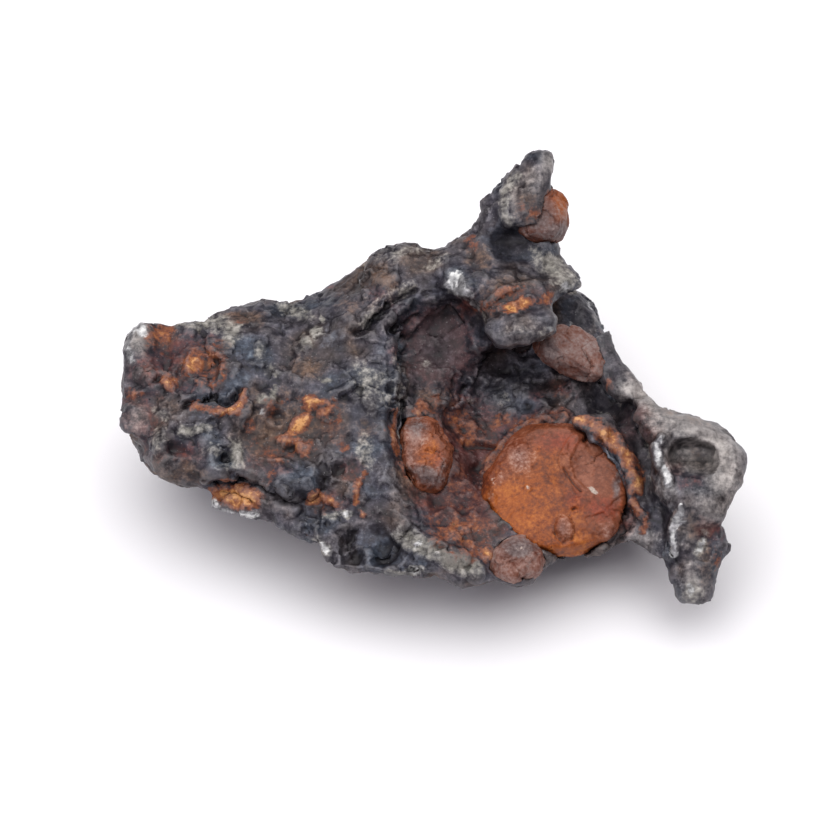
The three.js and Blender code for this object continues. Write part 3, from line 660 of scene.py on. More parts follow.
            (-13.7, 2.2, 0.4, 0.9, 0, 0.7), (-12.9, 0.7, 0.5, 0.6, 0, 0.7), (-12.4, 0.2, 0.4, 0.3, 0, 0.75),
            (-13.3, -1.7, 0.6, 0.5, 0, 0.9), (-12.6, -1.1, 0.3, 0.6, -30, 0.9),
            (-8.7, 4.7, 0.3, 0.3, 0, 1.0), (-8.7, -0.1, 0.5, 0.25, 0, 1.0),
            (-4.8, -0.6, 2.2, 1.6, -30, 0.5), (-4.4, -1.7, 0.8, 1.3, -20, 0.45),
            (-5.3, -5.9, 0.6, 1.3, 10, 0.5), (-2.2, -0.2, 0.25, 1.1, 0, 0.45),
            (-7.0, -10.7, 0.6, 0.25, -5, 0.8), (-8.2, -11.0, 0.6, 0.25, 0, 0.7),
            (-8.8, -13.3, 0.5, 1.0, 30, 0.9),
            # front rim
            (-2.2, -12.5, 0.8, 0.7, 0, 0.8), (-1.0, -13.3, 1.0, 0.6, -30, 0.95),
            (1.3, -14.4, 1.6, 0.6, -28, 1.0), (3.1, -15.2, 0.7, 0.4, 0, 0.9),
            (-2.6, -15.5, 1.9, 0.25, 0, 0.8), (-1.4, -15.2, 0.6, 0.3, 0, 0.9),
            (6.3, -13.3, 1.6, 0.6, 0, 0.5),
            # crest
            (-3.0, 10.0, 1.4, 0.6, 10, 0.5), (-5.6, 6.8, 1.0, 0.6, -40, 0.3),
            (-2.6, 6.7, 1.1, 0.4, 32, 0.5), (-4.8, 4.8, 1.0, 0.5, 35, 0.6), (-1.8, 10.2, 1.3, 0.4, -5, 0.4),
            (0.2, 9.2, 1.6, 0.5, 20, 0.45),
            # hollow
            (5.3, -1.9, 1.1, 0.8, 0, 0.35), (3.1, -2.1, 0.6, 0.4, 0, 0.4), (-0.6, 1.2, 0.6, 0.5, 0, 0.35),
            # brow and horn
            (8.9, 3.4, 1.6, 0.8, 20, 0.35), (6.9, 3.8, 1.4, 0.8, 0, 0.3), (9.4, 8.9, 1.6, 0.7, -35, 0.9),
            (10.6, 7.7, 1.0, 0.7, 0, 0.85), (12.1, 7.4, 0.6, 0.6, 0, 0.6), (13.5, 4.2, 0.4, 1.4, -15, 0.6),
            (5.6, 13.7, 0.3, 1.3, 0, 0.6),
            # leg
            (19.2, -11.7, 0.3, 1.1, 0, 0.6), (21.3, -13.3, 0.4, 1.3, -12, 0.8),
            (20.4, -17.0, 0.8, 0.8, 0, 0.85),
        ],
        "satin": [
            # lobe and leg
            (17.6, -1.4, 2.2, 1.3, -32, 1.2), (20.2, -3.4, 2.8, 1.5, -22, 1.15),
            (22.8, -5.6, 1.8, 2.6, 10, 1.0), (23.0, -8.0, 1.4, 1.8, 10, 0.9),
            (21.8, -10.2, 1.4, 1.6, 0, 0.7), (20.2, -12.0, 0.9, 1.8, 0, 0.55),
            (20.6, -16.4, 1.1, 1.4, 0, 0.8), (21.2, -13.8, 0.6, 1.6, 0, 0.5),
            (18.4, -8.8, 0.9, 1.8, 0, 0.6), (16.9, -12.8, 1.7, 1.1, 0, 0.55),
            (19.0, -5.9, 0.7, 1.4, 0, 0.8), (20.6, -5.8, 1.8, 1.6, 0, 0.8), (15.7, -0.9, 1.0, 0.8, 0, 1.0),
            (13.2, 5.0, 0.5, 1.8, -15, 0.6),
            # horn and brow
            (9.4, 17.2, 0.9, 1.1, 0, 1.0), (8.0, 15.6, 1.2, 1.2, 30, 0.45), (6.5, 13.9, 0.4, 1.8, 0, 0.5),
            (9.6, 8.6, 1.6, 0.9, -35, 0.7), (6.9, 3.6, 2.4, 1.4, 10, 0.3),
            # left end
            (-23.4, 3.6, 0.9, 1.6, 0, 0.9), (-23.6, -3.0, 0.9, 2.4, 0, 0.45),
        ],
        # painted shade: darkening laid where the hollow, the crest's folds, the underside of the horn, the
        # right wall and parts of the plate lie in shadow
        "paintedShade": [
            # hollow and crest
            (0.3, 2.4, 2.2, 2.8, 0, 0.8), (5.5, 0.3, 3.2, 1.8, 0, 0.75), (3.2, -6.4, 1.6, 0.9, 0, 0.4),
            (-3.5, 5.2, 2.6, 0.7, 36, 0.7), (-1.4, -0.4, 0.7, 2.4, 0, 0.7),
            # under the horn and along the right wall
            (7.0, 10.7, 2.2, 1.1, 0, 0.9), (11.8, 5.2, 1.3, 1.7, 0, 0.9), (14.0, 2.4, 0.7, 2.0, 10, 0.8),
            (14.6, -1.0, 1.1, 3.6, 18, 0.9), (16.9, -6.5, 0.9, 3.2, 12, 0.9),
            (19.4, -7.6, 1.0, 0.7, 0, 0.4), (18.2, -11.0, 0.5, 1.8, 10, 0.6),
            # plate
            (-5.2, -2.6, 1.4, 2.6, 0, 0.6), (-12.0, -8.4, 3.0, 0.8, -25, 0.5),
        ],
        "silver": [
            # left end
            (-23.3, 4.0, 0.6, 0.5, 0, 0.9), (-24.2, 3.2, 0.25, 0.7, 0, 0.8),
            (-24.3, 2.1, 0.25, 0.7, 0, 0.7), (-17.5, -9.8, 0.3, 0.3, 0, 0.9),
            (-16.6, -10.5, 0.5, 0.25, -30, 1.0), (-15.5, -11.0, 0.8, 0.25, -8, 1.0),
            (-14.4, -11.0, 0.6, 0.2, 0, 0.9),
            # plate and front rim
            (-13.6, -2.7, 0.25, 0.25, 0, 0.6), (-8.7, -13.3, 0.3, 0.8, 30, 0.9),
            (-7.0, -10.7, 0.5, 0.15, 0, 0.7), (-1.0, -13.3, 0.3, 0.3, 0, 0.8),
            (0.4, -14.0, 0.6, 0.25, -30, 0.5), (-1.4, -15.2, 0.5, 0.2, 0, 0.7),
            # brow
            (2.0, 7.6, 0.8, 0.8, 0, 1.0), (2.5, 6.6, 0.5, 0.6, -20, 0.9), (3.3, 5.8, 0.6, 0.3, -35, 0.7),
            (12.2, 6.7, 0.25, 0.25, 0, 1.0), (12.5, 6.0, 0.3, 0.4, 0, 1.0), (11.0, 4.3, 0.25, 0.25, 0, 1.0),
            (10.5, 7.3, 0.5, 0.4, 0, 0.9), (9.4, 3.7, 0.25, 0.7, 25, 0.5), (8.6, 2.9, 0.5, 0.25, 35, 0.7),
            # lobe and leg
            (17.8, -5.5, 0.25, 0.6, 0, 1.0), (18.1, -4.9, 0.4, 0.25, 30, 0.9),
            (18.7, -8.4, 0.4, 0.3, -40, 0.9), (19.5, -11.0, 0.25, 0.6, 20, 1.0),
            (19.1, -12.3, 0.25, 0.7, 0, 1.0), (20.4, -16.8, 0.5, 0.4, 0, 0.8),
            (21.3, -13.3, 0.25, 1.0, -12, 0.6),
        ],
    },
    # how far each finish's marks spread past their size
    "spread": {"silver": 1.4},
    # width, strength and ridge of each line of a finish
    "markStrokes": {
        "rust": [
            (0.48, 0.68, "orangeLip"), (0.38, 0.6, "grainEdge"), (0.38, 0.6, "crackLip"),
            (0.85, 0.8, "crescent"), (0.5, 0.65, "crescentEnd"), (0.5, 0.45, "browFoldHigh"),
            (0.9, 0.5, "grainSide"),
        ],
        "silver": [
            (0.35, 0.9, "silverRim"), (0.3, 0.7, "knobEdge"), (0.32, 0.95, "legFold"),
            (0.32, 0.85, "pocketRim"),
        ],
        "pale": [
            (1.0, 0.8, "paleRidge"), (0.6, 0.6, "hornFold"), (0.7, 0.45, "basinRim"),
            (0.7, 0.3, "crestFoldHigh"),
        ],
        "maroon": [(1.8, 0.7, "grainSide")],
    },
    "look": {
        "broad": 0.26, "patchy": 0.7, "fine": 2.4, "grit": 6.5,
        "tints": [
            (0.36, (255, 226, 208)), (0.47, (250, 240, 244)), (0.56, (232, 232, 250)),
            (0.66, (206, 224, 246)),
        ],
        "ground": [
            (0.34, (30, 29, 33)), (0.44, (51, 49, 53)), (0.52, (76, 74, 77)), (0.6, (106, 103, 103)),
            (0.69, (148, 146, 142)),
        ],
        "roughness": (0.32, 0.56), "metallic": (0.3, 0.7), "specular": 0.35, "coat": 0.0,
        "bump": 0.45, "bumpDepth": 0.12,
        "creviceShade": 0.85, "crevice": (18, 15, 18), "rubbedHighlightStrength": 0.3, "rubbedHighlight": (116, 114, 114),
        "pore": 0.3, "glintReach": (0.66, 0.74), "glint": 0.3, "glintTone": (178, 176, 176),
        "finishes": [
            {
                "mark": "slate", "ragged": 1.6, "reach": (0.1, 0.75), "cover": 0.85,
                "stops": [
                    (0.38, (32, 38, 48)), (0.5, (53, 61, 74)), (0.6, (79, 88, 101)), (0.7, (114, 122, 130)),
                ],
                "roughness": 0.45, "metallic": 0.45,
            },
            {
                "mark": "maroon", "ragged": 1.6, "reach": (0.1, 0.7), "cover": 0.9,
                "stops": [
                    (0.38, (40, 20, 21)), (0.48, (70, 31, 28)), (0.58, (98, 42, 32)), (0.68, (124, 60, 43)),
                ],
                "roughness": 0.55, "metallic": 0.1,
            },
            {
                "mark": "paintedShade", "ragged": 1.4, "reach": (0.1, 0.8), "cover": 0.85,
                "stops": [(0.38, (27, 23, 28)), (0.5, (47, 43, 49)), (0.62, (74, 69, 76))],
                "roughness": 0.5, "metallic": 0.3,
            },
            {
                "mark": "satin", "ragged": 1.5, "reach": (0.1, 0.95), "cover": 0.9,
                "stops": [
                    (0.36, (112, 108, 106)), (0.46, (140, 135, 132)), (0.56, (164, 158, 154)),
                    (0.7, (194, 189, 185)),
                ],
                "roughness": 0.42, "metallic": 0.35,
            },
            {
                "mark": "umber", "ragged": 1.8, "reach": (0.1, 0.7), "cover": 0.85,
                "stops": [(0.38, (58, 44, 38)), (0.5, (92, 70, 57)), (0.62, (126, 100, 82))],
                "roughness": 0.65, "metallic": 0.1,
            },
            {
                "mark": "pale", "ragged": 2.8, "reach": (0.15, 0.8), "cover": 0.85,
                "stops": [
                    (0.38, (88, 85, 80)), (0.5, (130, 127, 119)), (0.58, (158, 154, 146)),
                    (0.68, (196, 192, 184)),
                ],
                "roughness": 0.6, "metallic": 0.2,
            },
            {
                "mark": "rust", "ragged": 3.2, "reach": (0.06, 0.52), "cover": 0.95, "byLevel": True,
                "stops": [
                    (0.15, (62, 44, 39)), (0.34, (90, 52, 41)), (0.5, (114, 63, 42)), (0.68, (136, 80, 47)),
                    (0.86, (160, 102, 57)), (1.0, (204, 146, 86)),
                ],
                "roughness": 0.6, "metallic": 0.0,
            },
            {
                "mark": "silver", "ragged": 2.2, "reach": (0.12, 0.62), "cover": 0.95,
                "stops": [(0.38, (108, 108, 110)), (0.5, (156, 156, 157)), (0.62, (206, 206, 204))],
                "roughness": 0.32, "metallic": 0.8,
            },
        ],
    },
}


# how far each kind of placed form spreads past the size it is given
spreadOf = {"calm": 1.3, "lump": 1.1, "dent": 1.25, "ridge": 1.3, "crack": 1.1, "mark": 1.5}


def spreadSpot(net, row, spread, shape, through=False):
    x, y, wide, high, turn = row
    return spot(net, (x, y), (wide * spread, high * spread), turn, shape, through)


def over(net, rows):
    # how strongly each point is covered by the rows' spots, whichever side it is on
    share = np.zeros(len(net["points"]))
    for *row, most in rows:
        share = np.maximum(share, most * spreadSpot(net, row, spreadOf["calm"], table, True))
    return share


def texture(net, settings, strength):
    # the rough natural surface that isn't placed by hand
    points = wandering(net["points"], 2.6, 0.5, 41)
    rough = 0.35 + 0.9 * ease(layeredNoise(points, 5.0, 43, 2), -0.5, 0.5)
    amount = np.zeros(len(points))
    for size, height, seed in settings["swells"]:
        amount += height * layeredNoise(points, size, seed, 2)
    for size, height, seed in settings["plates"]:
        amount += height * rough * plateNoise(points, size, seed)
    for size, height, seed in settings["nodules"]:
        amount += height * rough * (np.abs(softNoise(points, size, seed)) - 0.3)
    for size, height, seed in settings["crests"]:
        where = ease(softNoise(points, size * 3.3, seed + 1), -0.2, 0.4)
        amount += height * where * (0.4 - np.abs(softNoise(points, size, seed)))
    for size, height, seed in settings["pebbles"]:
        where = ease(softNoise(points, size * 3.7, seed + 1), -0.3, 0.4)
        amount += height * where * (1 - cellNoise(points, size, seed))
    for size, depth, seed in settings["pits"]:
        where = ease(softNoise(points, size * 3.1, seed + 1), -0.1, 0.5)
        amount -= depth * where * ease(1 - cellNoise(points, size, seed) / 0.62)
    push(net, amount * strength)


def handRelief(net, settings):
    # the listed lumps, dents, rings, ridges and cracks, placed one by one
    amount = np.zeros(len(net["points"]))
    broken = 0.8 + 0.45 * plateNoise(net["points"], 1.1, 37)
    for *row, height in settings["lumps"]:
        amount += height * broken * spreadSpot(net, row, spreadOf["lump"], dome)
    for *row, depth in settings["dents"]:
        amount -= depth * spreadSpot(net, row, spreadOf["dent"], bell)
    for x, y, radius, wall, height in settings["rings"]:
        angles = np.linspace(0, 2 * math.pi, 19)
        circle = [(x + radius * math.cos(angle), y + radius * math.sin(angle)) for angle in angles]
        amount += height * stroke(net, circle, wall, slope)
    for width, height, path in settings["ridges"].values():
        amount += height * broken * stroke(net, path, width * spreadOf["ridge"], table)
    for width, depth, path in settings["cracks"].values():
        amount -= depth * stroke(net, path, width * spreadOf["crack"], bell)
    push(net, amount)


def marksOf(net, settings):
    # how strong each finish's mark is at each point
    marks = {}
    for name, rows in settings["marks"].items():
        spread = settings["spread"].get(name, spreadOf["mark"])
        values = np.zeros(len(net["points"]))
        for *row, strength in rows:
            weight = spreadSpot(net, row, spread, slope)
            values = np.maximum(values, strength * weight ** 0.7)
        for width, strength, ridge in settings.get("markStrokes", {}).get(name, []):
            weight = stroke(net, settings["ridges"][ridge][2], width, slope)
            values = np.maximum(values, strength * np.sqrt(weight))
        marks[name] = values
    return marks


def insideBox(net, floorHeld):
    # keeps the mesh a hair within the solids' box, with the feet level on the floor
    margin = 0.005
    points = np.clip(net["points"], boxLow + margin, boxHigh - margin)
    points[:, 2] = np.where(floorHeld, 0.0, np.maximum(points[:, 2], 0.0))
    net["points"] = points


print("stage 1: skin of the iron")
ironNet = netOf("iron_mass", iron["voxel"])
onFloor = ironNet["points"][:, 2] < iron["floorTouch"]
relax(ironNet, iron["relaxRounds"])
ground = ease(ironNet["points"][:, 2], *iron["footFade"])
lookAt(ironNet, iron["markWaver"])
melted = over(ironNet, iron["melted"])[:, None]
ironNet["points"] += melted * (blurred(ironNet, ironNet["points"], iron["meltRounds"]) - ironNet["points"])
calm = over(ironNet, iron["calm"]) * (0.45 + 0.55 * ironNet["seen"])
texture(ironNet, iron, ground * (1 - calm))
lookAt(ironNet, iron["waver"])
handRelief(ironNet, iron)
size, height, seed = iron["grit"]
push(ironNet, height * layeredNoise(ironNet["points"], size, seed, 2) * ground)
insideBox(ironNet, onFloor)
ironNet = thinned(ironNet, iron["triangles"])
insideBox(ironNet, ironNet["points"][:, 2] < 0.02)
print("  points", len(ironNet["points"]), "faces", len(ironNet["faces"]))

print("stage 2: finishes of the iron")
lookAt(ironNet, iron["markWaver"])
ironMarks = marksOf(ironNet, iron)
nookRounds, nookStrength = iron["nookShade"]
wideRounds, wideStrength = iron["wideNook"]
wideHollow = hollowness(ironNet, wideRounds)
# how hollow the surface is, which the material darkens as painted shade
nookShade = 0.5 + hollowness(ironNet, nookRounds) * nookStrength + wideHollow * wideStrength
unseen = 1 - ironNet["seen"]
points = ironNet["points"]


def hiddenPatches(size, seed, low, high, lean=0.0):
    # scattered patches for the sides that no mark reaches
    return unseen * ease(layeredNoise(points, size, seed, 3) + lean, low, high)


deep = ease(wideHollow, 0.1, 0.9)
extra = {
    "slate": hiddenPatches(5.0, 61, -0.3, 0.6) * 0.8,
    "umber": hiddenPatches(4.0, 67, -0.2, 0.6) * 0.8,
    "maroon": hiddenPatches(4.5, 71, 0.0, 0.7, deep * 0.6) * 0.8,
    "rust": hiddenPatches(2.6, 79, 0.15, 1.0, deep * 0.6),
    "pale": hiddenPatches(3.5, 89, -0.1, 0.8, -deep * 0.5) * 0.8,
    "silver": hiddenPatches(2.0, 97, 0.4, 0.9, -deep) * 0.8,
}
for name, values in extra.items():
    ironMarks[name] = np.maximum(ironMarks[name], values)
ironMarks["nookShade"] = np.clip(nookShade, 0, 1)
ironFinish = weathered("pittedIron", iron["look"])
ironPiece = pieceFrom(ironNet, "pitted_iron", ironFinish, ironMarks)
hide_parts("iron_mass")

grainLook = {
    "broad": 0.2, "patchy": 0.6, "fine": 3.4, "grit": 10,
    "tints": [(0.36, (240, 222, 214)), (0.5, (255, 255, 255)), (0.64, (255, 246, 224))],
    "ground": [
        (0.34, (86, 45, 31)), (0.44, (110, 59, 38)), (0.54, (130, 72, 45)), (0.64, (146, 87, 58)),
        (0.74, (164, 112, 87)),
    ],
    "roughness": (0.4, 0.56), "metallic": None, "specular": 0.25, "coat": 0.03,
    "bump": 0.45, "bumpDepth": 0.1,
    "creviceShade": 0.75, "crevice": (46, 26, 22), "rubbedHighlightStrength": 0.12, "rubbedHighlight": (120, 70, 46),
    "pore": 0.3, "glintReach": (0.67, 0.74), "glint": 0.25, "glintTone": (206, 168, 142),
    "finishes": [
        {
            "mark": "brown", "ragged": 2.2, "reach": (0.15, 0.65), "cover": 0.92,
            "stops": [(0.38, (92, 52, 38)), (0.5, (122, 70, 50)), (0.62, (146, 92, 70))],
            "roughness": 0.4,
        },
        {
            "mark": "red", "ragged": 1.6, "reach": (0.15, 0.7), "cover": 0.85,
            "stops": [(0.38, (84, 32, 22)), (0.5, (120, 48, 30)), (0.62, (150, 70, 46))],
            "roughness": 0.42,
        },
        {
            "mark": "gold", "ragged": 2.3, "reach": (0.0, 0.9), "cover": 0.9,
            "stops": [(0.38, (126, 62, 24)), (0.5, (158, 82, 29)), (0.62, (180, 106, 44))],
            "roughness": 0.46,
        },
        # the grains' pinkish tone, also laid as painted highlights on their lit upper left edges, ridges
        # and lump tops
        {
            "mark": "pinkAndHighlight", "ragged": 2.4, "reach": (0.2, 0.9), "cover": 0.9,
            "stops": [(0.4, (106, 74, 66)), (0.5, (138, 104, 94)), (0.62, (176, 144, 132))],
            "roughness": 0.45,
        },
        {
            "mark": "grey", "ragged": 2.0, "reach": (0.2, 0.8), "cover": 0.88,
            "stops": [(0.4, (62, 54, 56)), (0.5, (92, 80, 80)), (0.62, (128, 116, 114))],
            "roughness": 0.45,
        },
        {
            "mark": "white", "grain": "fine", "ragged": 1.0, "reach": (0.35, 0.6), "cover": 1.0,
            "stops": [(0.4, (150, 132, 120)), (0.6, (196, 180, 168))],
            "roughness": 0.35,
        },
    ],
}
# what every grain has unless its own settings say otherwise
plainGrain = {
    "waver": 0.15, "markWaver": 0.4,
    "swell": 0.18,  # mm by which a grain grows into the seam round it
    "grit": (0.3, 0.03, 181),
    "nookShade": (6, 5),
    "patchSize": 1.8, "patchSeeds": {"brown": 191, "red": 193, "pinkAndHighlight": 197},  # patches on the unseen side
    "crests": [], "pebbles": [], "rings": [], "lumps": [], "dents": [],
    "ridges": {}, "cracks": {}, "allOver": {}, "spread": {},
}
grains = {
    "olivine_grain_large": {
        "piece": "weathered_grain_large", "voxel": 0.1, "relaxRounds": 14,
        "swells": [(2.6, 0.22, 103)], "plates": [(2.4, 0.13, 105), (1.1, 0.04, 106)],
        "nodules": [(0.9, 0.05, 108)], "pits": [(0.9, 0.06, 109)],
        "lumps": [
            (10.4, -12.0, 0.7, 1.15, 0, 0.35), (6.8, -6.6, 1.6, 1.1, 40, 0.15),
            (7.5, -8.8, 0.35, 0.3, 0, 0.15), (13.9, -12.2, 1.2, 0.8, 0, 0.3),
        ],
        "dents": [
            (12.5, -6.7, 1.9, 2.5, -10, 0.25), (11.2, -10.4, 0.22, 0.22, 0, 0.3),
            (5.0, -12.6, 0.9, 0.5, 0, 0.2),
        ],
        "ridges": {"plateEdge": (0.4, 0.14, [(11.2, -4.9), (10.4, -6.4), (10.9, -8.2), (12.4, -9.4)])},
        "cracks": {
            "midCrack": (0.16, 0.22, [(10.4, -7.2), (11.0, -8.3), (11.7, -9.0)]),
            "topCrack": (0.26, 0.4, [(12.0, -4.9), (12.5, -4.4)]),
            "lumpFoot": (0.3, 0.25, [(9.7, -12.4), (10.3, -13.0), (11.0, -12.7)]),
        },
        "marks": {
            "brown": [
                (12.5, -6.7, 2.0, 2.6, -10, 0.8), (9.9, -4.6, 2.4, 1.0, 0, 0.85),
                (14.8, -11.3, 1.2, 1.0, 0, 0.7), (9.3, -9.0, 1.0, 0.5, -30, 0.4),
            ],
            "red": [
                (9.8, -5.2, 2.0, 1.0, 10, 0.6), (13.6, -10.3, 1.6, 1.1, 0, 0.7),
                (11.2, -9.6, 1.2, 0.8, -40, 0.6), (8.0, -11.0, 1.0, 0.7, 0, 0.4),
            ],
            "gold": [
                (5.9, -10.4, 2.2, 2.1, 0, 1.15), (7.8, -8.6, 2.4, 2.6, 30, 0.7),
                (9.5, -13.4, 3.0, 1.1, 0, 0.85), (9.0, -10.8, 2.6, 2.2, 0, 0.4),
                (8.8, -6.6, 1.6, 1.2, 0, 0.4),
            ],
            # the pink on the upper left and on the lumps' tops is painted highlight
            "pinkAndHighlight": [
                (6.8, -6.4, 1.2, 1.4, 40, 0.7), (10.4, -12.0, 0.6, 1.1, 0, 0.8),
                (13.9, -12.2, 1.0, 0.8, 0, 0.6), (13.8, -5.6, 0.4, 1.2, 25, 0.6),
                (5.4, -8.0, 1.0, 0.5, 40, 0.5), (7.4, -13.9, 0.7, 0.5, 0, 0.5),
            ],
            "grey": [(14.7, -8.2, 0.4, 1.9, -8, 0.8), (4.5, -9.5, 0.35, 0.9, 0, 0.5)],
            "white": [
                (12.75, -8.8, 0.42, 0.3, -35, 1.0), (7.45, -8.8, 0.26, 0.22, 20, 0.62),
                (4.7, -8.2, 0.35, 0.4, 0, 0.5),
            ],
        },
    },
    "olivine_grain_oval": {
        "piece": "weathered_grain_oval", "voxel": 0.08, "relaxRounds": 12,
        "swells": [(1.8, 0.18, 113)], "plates": [(1.3, 0.16, 115), (0.6, 0.06, 116)],
        "nodules": [(0.7, 0.07, 127)], "pits": [(0.7, 0.06, 131)],
        "allOver": {"brown": 0.55},
        "lumps": [(-0.6, -5.4, 0.8, 1.0, 0, 0.15)],
        "dents": [
            (0.9, -4.1, 0.9, 1.3, 20, 0.35), (-2.0, -8.0, 0.9, 0.9, 0, 0.35),
            (-0.3, -7.2, 0.7, 0.5, 20, 0.12),
        ],
        "marks": {
            "brown": [(-0.4, -6.6, 1.0, 1.0, 0, 0.4)], "red": [(0.2, -6.2, 0.7, 1.0, 0, 0.5)],
            "gold": [(-0.5, -5.6, 0.8, 1.2, 10, 0.75)],
            "pinkAndHighlight": [
                (-1.4, -4.4, 0.9, 1.3, 10, 0.95), (-0.2, -7.6, 1.0, 0.6, 0, 0.7),
                (-1.9, -6.0, 0.5, 1.6, 0, 0.8),
            ],
            "grey": [
                (-0.4, -7.9, 1.4, 0.8, -20, 0.95), (-1.4, -3.7, 1.0, 0.8, 0, 0.8),
                (0.9, -7.0, 0.4, 1.0, -20, 0.6),
            ],
        },
    },
    "olivine_grain_under_brow": {
        "piece": "weathered_grain_under_brow", "voxel": 0.09, "relaxRounds": 10,
        "swells": [(1.6, 0.2, 137)], "plates": [(2.2, 0.26, 139)],
        "nodules": [(0.8, 0.05, 141)], "pits": [(0.6, 0.04, 149)],
        "ridges": {"spine": (0.6, 0.2, [(9.6, 3.0), (11.2, 2.1), (13.2, 0.8)])},
        "allOver": {"grey": 0.5, "pinkAndHighlight": 0.75},
        "marks": {
            "brown": [(11.2, 2.4, 2.0, 1.2, -25, 0.7), (12.5, 0.8, 1.0, 0.8, 0, 0.6)],
            "red": [(10.0, 2.8, 1.4, 0.9, -20, 0.5)],
            "pinkAndHighlight": [(11.4, 1.8, 1.8, 0.9, -25, 1.0)],
            # the grey on the grain's left end darkens it as painted shade, besides its grey tone
            "grey": [(9.2, 2.4, 1.0, 1.6, 0, 0.9), (12.8, 1.4, 0.8, 0.8, 0, 0.5)],
            "gold": [(13.3, 0.9, 0.7, 1.0, 0, 0.6)],
        },
    },
    "olivine_grain_front": {
        "piece": "weathered_grain_front", "voxel": 0.08, "relaxRounds": 8,
        "swells": [(1.4, 0.2, 151)], "plates": [(1.5, 0.34, 153), (0.6, 0.08, 154)],
        "nodules": [(0.5, 0.06, 159)], "pits": [(0.5, 0.06, 163)],
        "lumps": [
            (5.6, -13.7, 0.8, 0.6, 20, 0.3), (7.5, -13.9, 0.7, 0.7, -20, 0.3),
            (6.3, -15.3, 1.0, 0.6, 0, 0.25),
        ],
        "allOver": {"pinkAndHighlight": 0.75, "grey": 0.35},
        "marks": {
            "brown": [(6.2, -15.6, 1.4, 0.8, 0, 0.5)],
            "pinkAndHighlight": [(6.4, -14.6, 1.5, 0.9, 0, 0.8)],
            "grey": [(6.8, -13.4, 1.8, 0.9, 0, 1.0)],
            "white": [(7.1, -13.4, 0.9, 0.4, -15, 0.42), (5.7, -13.7, 0.5, 0.3, 20, 0.4)],
        },
    },
    "olivine_grain_horn": {
        "piece": "weathered_grain_horn", "voxel": 0.08, "relaxRounds": 10,
        "swells": [(1.6, 0.2, 167)], "plates": [(2.0, 0.2, 169)],
        "nodules": [(0.6, 0.07, 175)], "pits": [(0.6, 0.06, 179)],
        "allOver": {"brown": 0.8, "grey": 0.34},
        "marks": {
            "brown": [(8.8, 12.4, 1.4, 1.4, 0, 0.6)],
            "gold": [(10.5, 13.8, 0.9, 1.8, 10, 0.85), (9.2, 13.2, 0.7, 0.7, 0, 0.5)],
            "pinkAndHighlight": [(10.2, 12.4, 0.7, 0.9, 0, 0.6)],
            "grey": [(8.5, 12.6, 1.7, 2.2, 0, 0.85), (9.9, 11.6, 1.8, 1.0, 10, 0.9)],
        },
    },
}

print("stage 3: olivine grains")
grainFinish = weathered("weatheredOlivine", grainLook)
for nodeName, own in grains.items():
    grain = plainGrain | own
    net = netOf(nodeName, grain["voxel"])
    relax(net, grain["relaxRounds"])
    sideways = 1 - np.abs(normalsOf(net) @ out)  # the flanks grow most
    push(net, grain["swell"] * (0.6 + 1.6 * sideways))
    texture(net, grain, 1.0)
    lookAt(net, grain["waver"])
    handRelief(net, grain)
    size, height, seed = grain["grit"]
    push(net, height * layeredNoise(net["points"], size, seed, 2))
    insideBox(net, False)
    lookAt(net, grain["markWaver"])
    marks = marksOf(net, grain)
    for name, least in grain["allOver"].items():
        marks[name] = np.maximum(marks[name], least)
    unseenSide = 1 - net["seen"]
    for name, seed in grain["patchSeeds"].items():
        patchy = ease(layeredNoise(net["points"], grain["patchSize"], seed, 3), -0.1, 0.7)
        marks[name] = np.maximum(marks.get(name, 0.0), unseenSide * patchy * 0.8)
    nookRounds, nookStrength = grain["nookShade"]
    # how hollow the grain is, which the material darkens as painted shade
    marks["nookShade"] = np.clip(0.5 + hollowness(net, nookRounds) * nookStrength, 0, 1)
    piece = pieceFrom(net, grain["piece"], grainFinish, marks)
    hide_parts(nodeName)
    print("  ", grain["piece"], "triangles", len(net["faces"]) * 2)

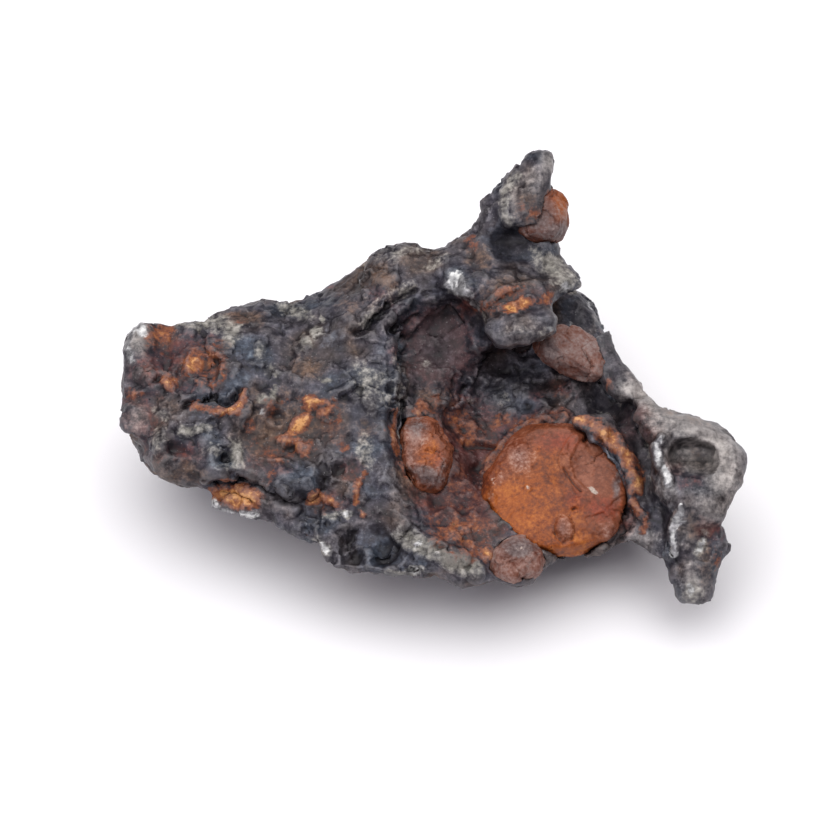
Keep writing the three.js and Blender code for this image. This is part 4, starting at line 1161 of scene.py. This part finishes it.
studio = {
    "floorHalf": 2.0,  # metres
    "floorTone": (250, 250, 252), "floorRoughness": 0.8,
    "skyTone": (0.96, 0.89, 1.0, 1.0), "sky": 0.24,
    # name, place in mm from the middle of the part, size in mm, watts, colour
    "lights": [
        ("keyAbove", (-20, 60, 430), 760, 3.9, (1.0, 0.99, 0.98)),
        ("fillFront", (-300, -260, 260), 300, 0.35, (0.97, 0.93, 1.0)),
    ],
    "sensorWidth": 36,
    "clip": (0.01, 10),
}

print("stage 4: floor, light and camera")
scene = bpy.context.scene
half = studio["floorHalf"]
floorMesh = bpy.data.meshes.new("floor")
floorCorners = [(-half, -half, 0), (half, -half, 0), (half, half, 0), (-half, half, 0)]
floorMesh.from_pydata(floorCorners, [], [(0, 1, 2, 3)])
floorMaterial = bpy.data.materials.new("paleFloor")
floorMaterial.use_nodes = True
floorShader = floorMaterial.node_tree.nodes["Principled BSDF"]
floorShader.inputs["Base Color"].default_value = tone(*studio["floorTone"])
floorShader.inputs["Roughness"].default_value = studio["floorRoughness"]
floorMesh.materials.append(floorMaterial)
floor = bpy.data.objects.new("floor", floorMesh)
scene.collection.objects.link(floor)

world = bpy.data.worlds.new("softSky")
world.use_nodes = True
backdrop = world.node_tree.nodes["Background"]
backdrop.inputs["Color"].default_value = studio["skyTone"]
backdrop.inputs["Strength"].default_value = studio["sky"]
scene.world = world
centre = Vector(middle * mm)
for name, place, size, watts, colour in studio["lights"]:
    lamp = bpy.data.lights.new(name, "AREA")
    lamp.energy, lamp.size, lamp.color = watts, size * mm, colour
    lampObject = bpy.data.objects.new(name, lamp)
    scene.collection.objects.link(lampObject)
    lampObject.location = Vector(place) * mm + centre
    lampObject.rotation_mode = "QUATERNION"
    lampObject.rotation_quaternion = (centre - lampObject.location).to_track_quat("-Z", "Y")

camera = bpy.data.cameras.new("camera")
camera.sensor_width = studio["sensorWidth"]
camera.lens = studio["sensorWidth"] * face["distance"] / face["pictureWidth"]
camera.clip_start, camera.clip_end = studio["clip"]
cameraObject = bpy.data.objects.new("camera", camera)
scene.collection.objects.link(cameraObject)
aim = middle + across * face["aim"][0] + up * face["aim"][1]
cameraObject.location = (aim + out * face["distance"]) * mm
cameraObject.rotation_mode = "QUATERNION"
cameraObject.rotation_quaternion = Vector(-out).to_track_quat("-Z", "Y")
scene.camera = cameraObject
scene.view_settings.view_transform = "Standard"

print("stage 5: done")
